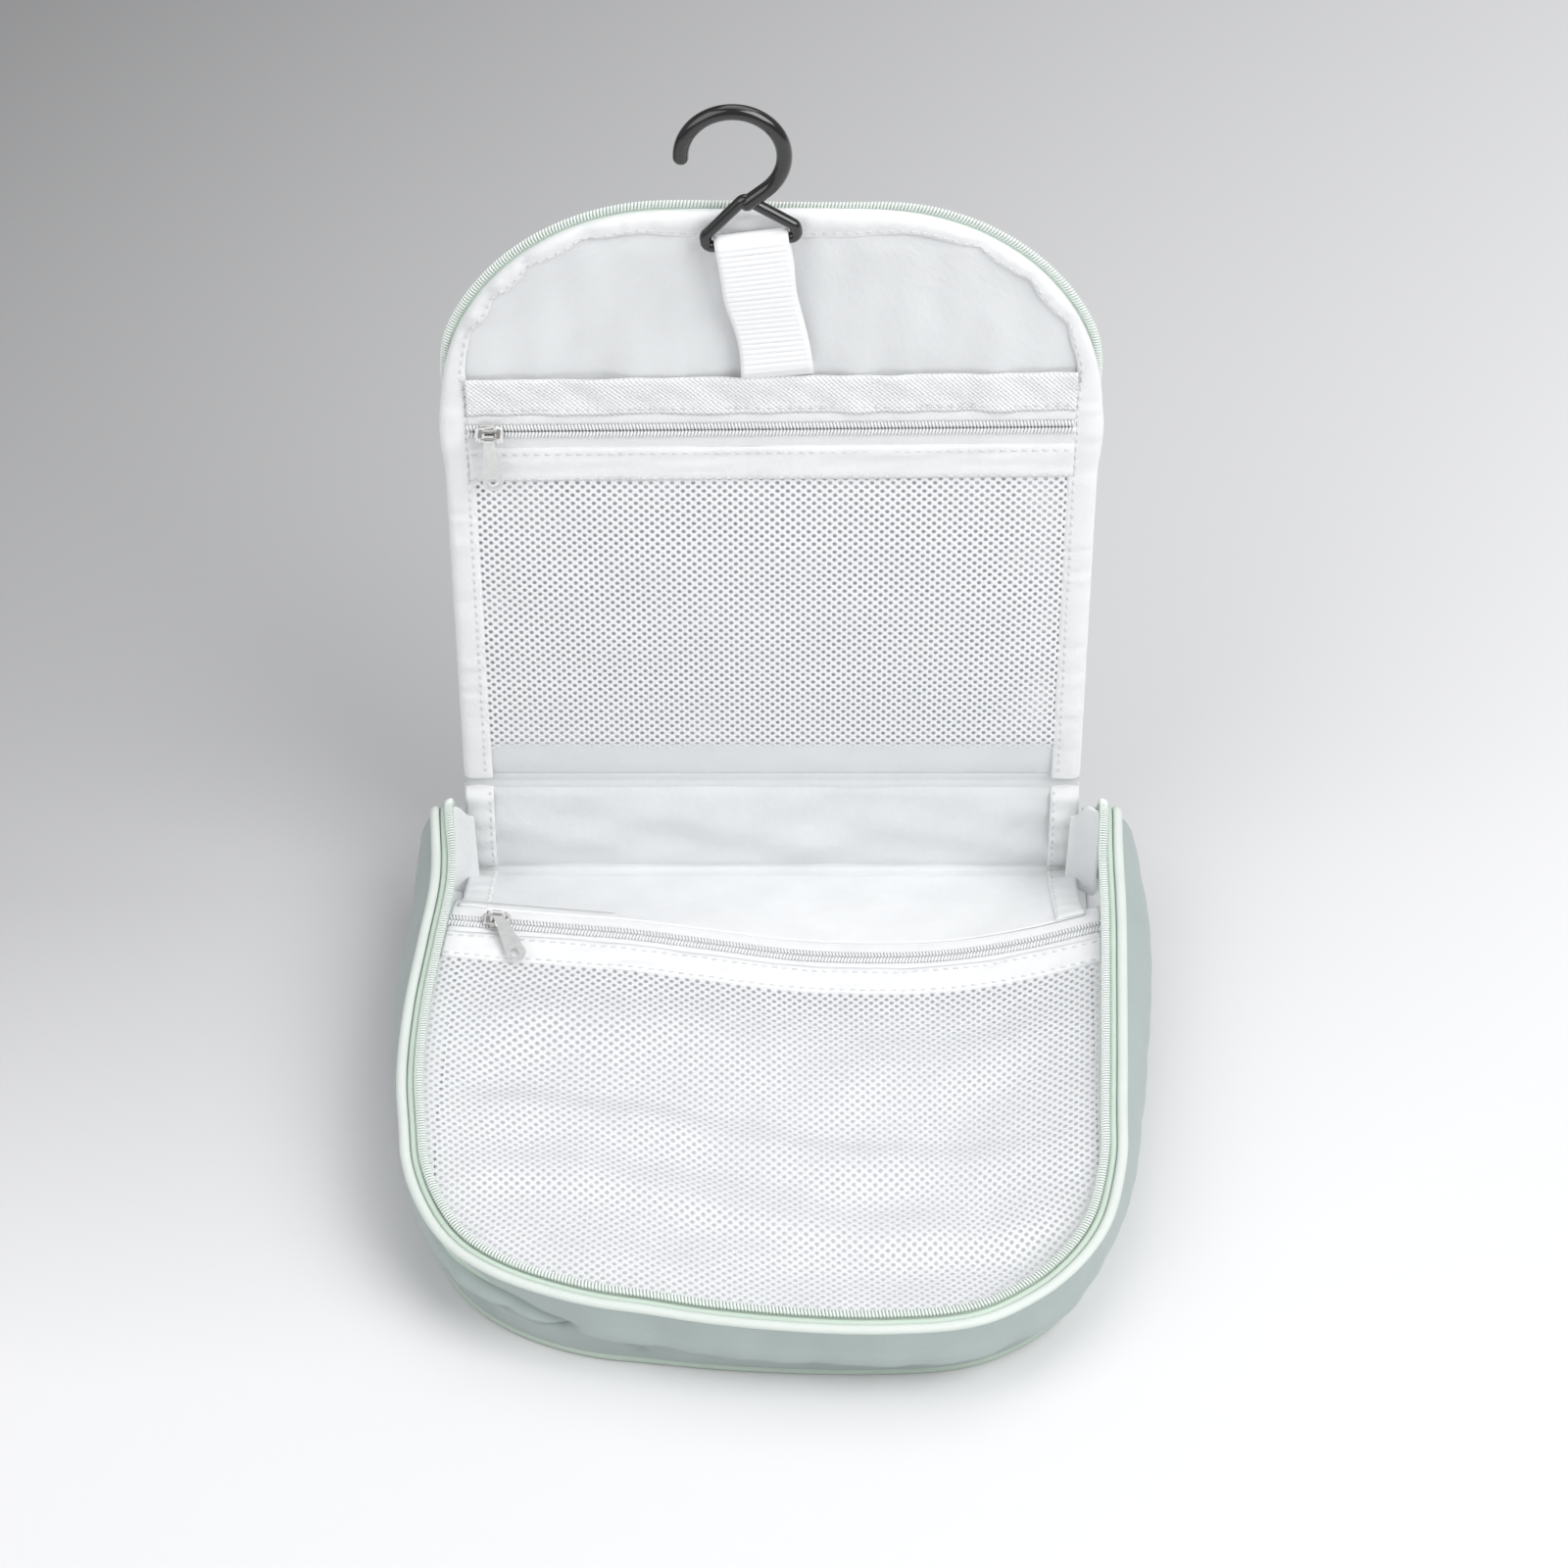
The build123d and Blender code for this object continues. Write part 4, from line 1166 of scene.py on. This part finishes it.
# ---- the lid's pocket ----
def pocket_front(x, s):
    """How far the pocket's net stands in front of the fold plane: level at its edges, with a slack belly."""
    across = np.cos(np.clip(x / POCKET_HALF_WIDTH, -1, 1) * math.pi / 2)
    up = np.sin(np.clip((s - 16) / 122, 0, 1) * math.pi)
    return TAPE_MID - 0.6 + 1.3 * across**0.6 * up + 0.35 * up * ripples(x, s, 41, 24, 90)


def pocket_band(s0, s1, columns, front, ripple=0.0, seed=2, flare=0.0):
    """A band across the pocket from s0 to s1 above the fold line, tilted with the pocket's rows; flare widens
    it upward to the right."""
    reach = POCKET_HALF_WIDTH + 2.0
    x = np.linspace(-reach, reach, 220)[:, None]
    s = np.linspace(s0, s1, columns)[None, :]
    d = np.asarray(front) + ripple * ripples(x, 3 * s, seed, 12, 60)
    rise = flare * (x - POCKET_PIVOT_X) * (s - s0) / (s1 - s0)
    return lid_points(x + 0 * s, tilted(s, x) + rise, d + 0 * s + 0 * x)


class BAG_OT_pocket(Step, bpy.types.Operator):
    """Knits the pocket's net and sews its hems and zip"""

    bl_idname = "bag.pocket"
    bl_label = "Lid pocket"

    def sew(self, sizes):
        def keep(x, s):
            return (np.abs(x) < POCKET_HALF_WIDTH + 3) & (s > 16) & (s < tilted(140.0, x))

        def place(x, s, proud):
            foot = smooth((21 - s) / 5)
            return lid_points(x, s, pocket_front(x, s) + proud - 1.2 * foot)

        net_piece(
            "pocket_net_cloth", place, keep, ((-106, 106), (16, 144)), sizes, "white_net", "white_net",
            body="lid", replaces=("pocket_net",),
            flat=(0.206, 0.124), held="hung", rests_on=["pocket_hem_lower"], area=0.0170,
        )
        front = TAPE_MID + np.array([-0.6, 0.2, 0.35, 0.15, 0.3, 0.2, 0.3, 0.15, 0.3, -0.1])
        cloth_piece(
            "pocket_hem_lower", pocket_band(137.6, 152.0, 10, front, 0.3, 51), "white_cloth",
            "white_net", 0.6, body="lid", replaces=("pocket_lower_hem",), turn=True,
            flat=(0.206, 0.029), held="folded", rests_on=["pocket_tape_lower"], area=0.0031,
        )
        front = np.array([3.9, 4.0, 3.8, 4.0, 3.7, 4.0, 3.8, 4.0, 3.9, 4.0, 4.0, 3.7])
        cloth_piece(
            "pocket_hem_upper", pocket_band(166.0, 180.5, 12, front + 0.6, 0.45, 52, 0.006), "hem_cloth",
            "white_net", 0.5, body="lid", replaces=("pocket_upper_hem",), turn=True,
            flat=(0.206, 0.029), held="folded", rests_on=["pocket_tape_upper"], area=0.0031,
        )
        for low, high, name in ((144.4, 158.9, "lower"), (160.1, 174.6, "upper")):
            hidden = np.array([1.0, 0.9, 0.5, 0.0, 0.0, 0.0])
            front = TAPE_MID - 0.05 - (hidden if name == "lower" else hidden[::-1])
            cloth_piece(
                f"pocket_tape_{name}", pocket_band(low, high, 6, front), "white_tape",
                "white_zip", 0.5, body="lid", replaces=(f"pocket_zip_tape_{name}",), turn=True,
                flat=(0.206, 0.0145), held="hung", rests_on=["lid_edge_cloth"],
            )
        for hand, name in ((-1.0, "lower"), (1.0, "upper")):
            edge = POCKET_ZIP_REACH + hand * CHAIN_HALF
            line = pocket_band(edge, POCKET_ZIP_REACH, 2, TAPE_MID + 0.8)[:, 0]
            inward, up = repeated((0.0, 0.0, hand), line), repeated(FORWARD, line)
            rings = coil_rings(sizes.coil_pitch / MM, line, inward, up, *SMALL_COIL)
            rounded(
                f"pocket_teeth_{name}", rings, "white_coil", "white_zip",
                body="lid", replaces=(f"pocket_zip_coil_{name}",),
            )
        rows = []
        for s in (139.0, 149.6, 168.4):
            line = pocket_band(s, s + 0.1, 2, TAPE_MID + 0.65)[:, 0]
            rows.append((line, unit(np.gradient(line, axis=0)), repeated(FORWARD, line)))
        stitches("pocket_stitches", rows, "white_thread", "white_zip", sizes, body="lid")


# ---- webbing and hardware ----
class BAG_OT_webbing(Step, bpy.types.Operator):
    """Weaves the webbing loop that holds the hook"""

    bl_idname = "bag.webbing"
    bl_label = "Webbing loop"

    def sew(self, sizes):
        bar_y, radius = SEAM_FRONT - BAR_FRONT, 2.62
        rise = np.linspace(-5.0, STRAP_LENGTH, 170)
        turn = np.linspace(0, math.pi, 26)[1:-1]
        reach = np.clip(rise / STRAP_LENGTH, 0, 1)
        tuck = 5.0 * smooth((8.5 - rise) / 9.0)
        front_y = -0.62 + (bar_y - radius + 0.62) * smooth((reach - 0.25) / 0.75) + tuck
        back_y = 0.62 + (bar_y + radius - 0.62) * smooth((reach - 0.25) / 0.75) + tuck
        y = np.concatenate([front_y, bar_y - radius * np.cos(turn), back_y[::-1]])
        z = np.concatenate([rise, STRAP_LENGTH + radius * np.sin(turn), rise[::-1]])
        path = stack(0, y, z)
        far = travelled(path)
        heading = unit(np.gradient(path, axis=0))
        out = stack(0, -heading[:, 2], heading[:, 1])
        ribs = 0.5 * np.abs(np.sin(math.pi * far / (sizes.web_rib / MM))) ** 0.5 - 0.25
        across = np.linspace(-0.5, 0.5, 15)
        bow = 0.5 * np.sin(z / 17.0 + 0.4) * smooth((STRAP_LENGTH - z) / 25) * smooth(z / 12)
        wide = STRAP_WIDTH * (1 - 0.05 * np.sin(z / 15.0) ** 2 * smooth((STRAP_LENGTH - z) / 20))
        sway = 1.1 * np.sin(z * math.pi / 31.0) * smooth((50 - z) / 20)
        x = wide[:, None] * across + sway[:, None]
        lift = ribs[:, None] * np.cos(across * math.pi) ** 0.2 + bow[:, None] * 2 * across
        y, z = (path[:, None, k] + out[:, None, k] * lift for k in (1, 2))
        c, s = math.cos(STRAP_LEAN), math.sin(STRAP_LEAN)
        seam_z = FOLD_HEIGHT + SEAM_REACH
        grid = stack(SEAM_X + x * c - z * s, FOLD_Y - SEAM_FRONT + y, seam_z + x * s + z * c)
        cloth_piece(
            "webbing_loop", grid, "white_webbing", "white_webbing", 0.9, replaces=("hanging_strap",),
            blend=("lid", "strap", (SEAM_X, FOLD_Y, seam_z - 1.5), (SEAM_X, FOLD_Y, seam_z + 2.5)),
            flat=(0.0245, 0.140), held="hung", rests_on=["pocket_hem_upper", "hook"],
        )


class BAG_OT_hardware(Step, bpy.types.Operator):
    """Finishes the hook, the sliders and the pullers"""

    bl_idname = "bag.hardware"
    bl_label = "Hook, sliders and pullers"

    def sew(self, sizes):
        made = finishes()
        for name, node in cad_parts.items():
            if name == "hook":
                node.material_slots[0].material = made["gloss_plastic"]
            elif "slider" in name or "puller" in name:
                node.material_slots[0].material = made["bright_metal"]


# ---- the studio ----
class BAG_OT_stage(bpy.types.Operator):
    """Lays the studio floor and sets the lights and the camera"""

    bl_idname = "bag.stage"
    bl_label = "Studio"

    def execute(self, context):
        scene = context.scene
        base = tuple(scene.bag_colours.floor)
        finish = Finish("studio_floor", base, 0.8)
        where = finish.place((1, 1, 1))
        x, y, z = finish.parts(where)
        # painted shade: the floor and backdrop grow darker towards the back, up the backdrop and, on the
        # backdrop, towards the left, with a faint mottle
        behind = (y * 3.6 + 0.58).clamped()
        fade = (0.25 - x) * behind + y * 0.5 + z * 0.1 + (finish.noise(where, 1.5, 2.0) - 0.5) * 0.03
        shade = finish.shade(fade, base, scaled(base, FLOOR_PAINTED_SHADE))
        finish.feed(finish.shader.inputs["Base Color"], shade)
        x = np.linspace(-4000, 4000, 41)[None, :]
        t = np.linspace(0, 1, 61)[:, None]
        y = -3000 + 6500 * np.minimum(t, 0.75) / 0.75
        rise = np.maximum(t - 0.6, 0) / 0.4
        grid = stack(x + 0 * t, y + 0 * x, 3200 * rise**2.2 + 0 * x - 0.05)
        make_object("floor", grid, quads(61, 41)[:, ::-1], "studio_floor")
        for settings in LIGHTS:
            self.light(*settings)
        world = bpy.data.worlds.new("studio_light")
        world.use_nodes = True
        sky = world.node_tree.nodes["Background"].inputs
        sky["Color"].default_value, sky["Strength"].default_value = SKY_COLOUR, SKY_STRENGTH
        scene.world = world
        lens = bpy.data.cameras.new("camera")
        lens.lens, lens.sensor_width, lens.clip_end = LENS_MM, SENSOR_MM, VIEW_END
        camera = bpy.data.objects.new("camera", lens)
        scene.collection.objects.link(camera)
        camera.location, camera.rotation_euler = CAMERA_PLACE, (CAMERA_PITCH, 0.0, 0.0)
        scene.camera = camera
        scene.view_settings.view_transform = "Standard"
        return {"FINISHED"}

    def light(self, name, place, target, size, power):
        """A square soft light that faces its target."""
        lamp = bpy.data.lights.new(name, "AREA")
        lamp.size, lamp.energy = size, power
        holder = bpy.data.objects.new(name, lamp)
        bpy.context.scene.collection.objects.link(holder)
        holder.location = place
        holder.rotation_euler = (Vector(target) - Vector(place)).to_track_quat("-Z", "Y").to_euler()


class BAG_PT_panel(bpy.types.Panel):
    """The bag's sizes, colours and steps"""

    bl_label = "Toiletry Bag"
    bl_idname = "BAG_PT_panel"
    bl_space_type = "VIEW_3D"
    bl_region_type = "UI"
    bl_category = "Toiletry Bag"

    def draw(self, context):
        for group in (context.scene.bag_sizes, context.scene.bag_colours):
            for name in group.__annotations__:
                self.layout.prop(group, name)
        for step in steps:
            self.layout.operator(step.bl_idname)


steps = (
    BAG_OT_base, BAG_OT_gusset, BAG_OT_rim, BAG_OT_zip_ends, BAG_OT_cover_net, BAG_OT_cover_zip, BAG_OT_flap,
    BAG_OT_spine, BAG_OT_lid, BAG_OT_lid_edge, BAG_OT_pocket, BAG_OT_webbing, BAG_OT_hardware, BAG_OT_stage,
)
classes = (BagSizes, BagColours, *steps, BAG_PT_panel)


def register():
    for item in classes:
        bpy.utils.register_class(item)
    bpy.types.Scene.bag_sizes = bpy.props.PointerProperty(type=BagSizes)
    bpy.types.Scene.bag_colours = bpy.props.PointerProperty(type=BagColours)


def unregister():
    del bpy.types.Scene.bag_sizes, bpy.types.Scene.bag_colours
    for item in reversed(classes):
        bpy.utils.unregister_class(item)


def main():
    register()
    for step in steps:
        group, name = step.bl_idname.split(".")
        getattr(getattr(bpy.ops, group), name)()


if __name__ == "__main__":
    main()
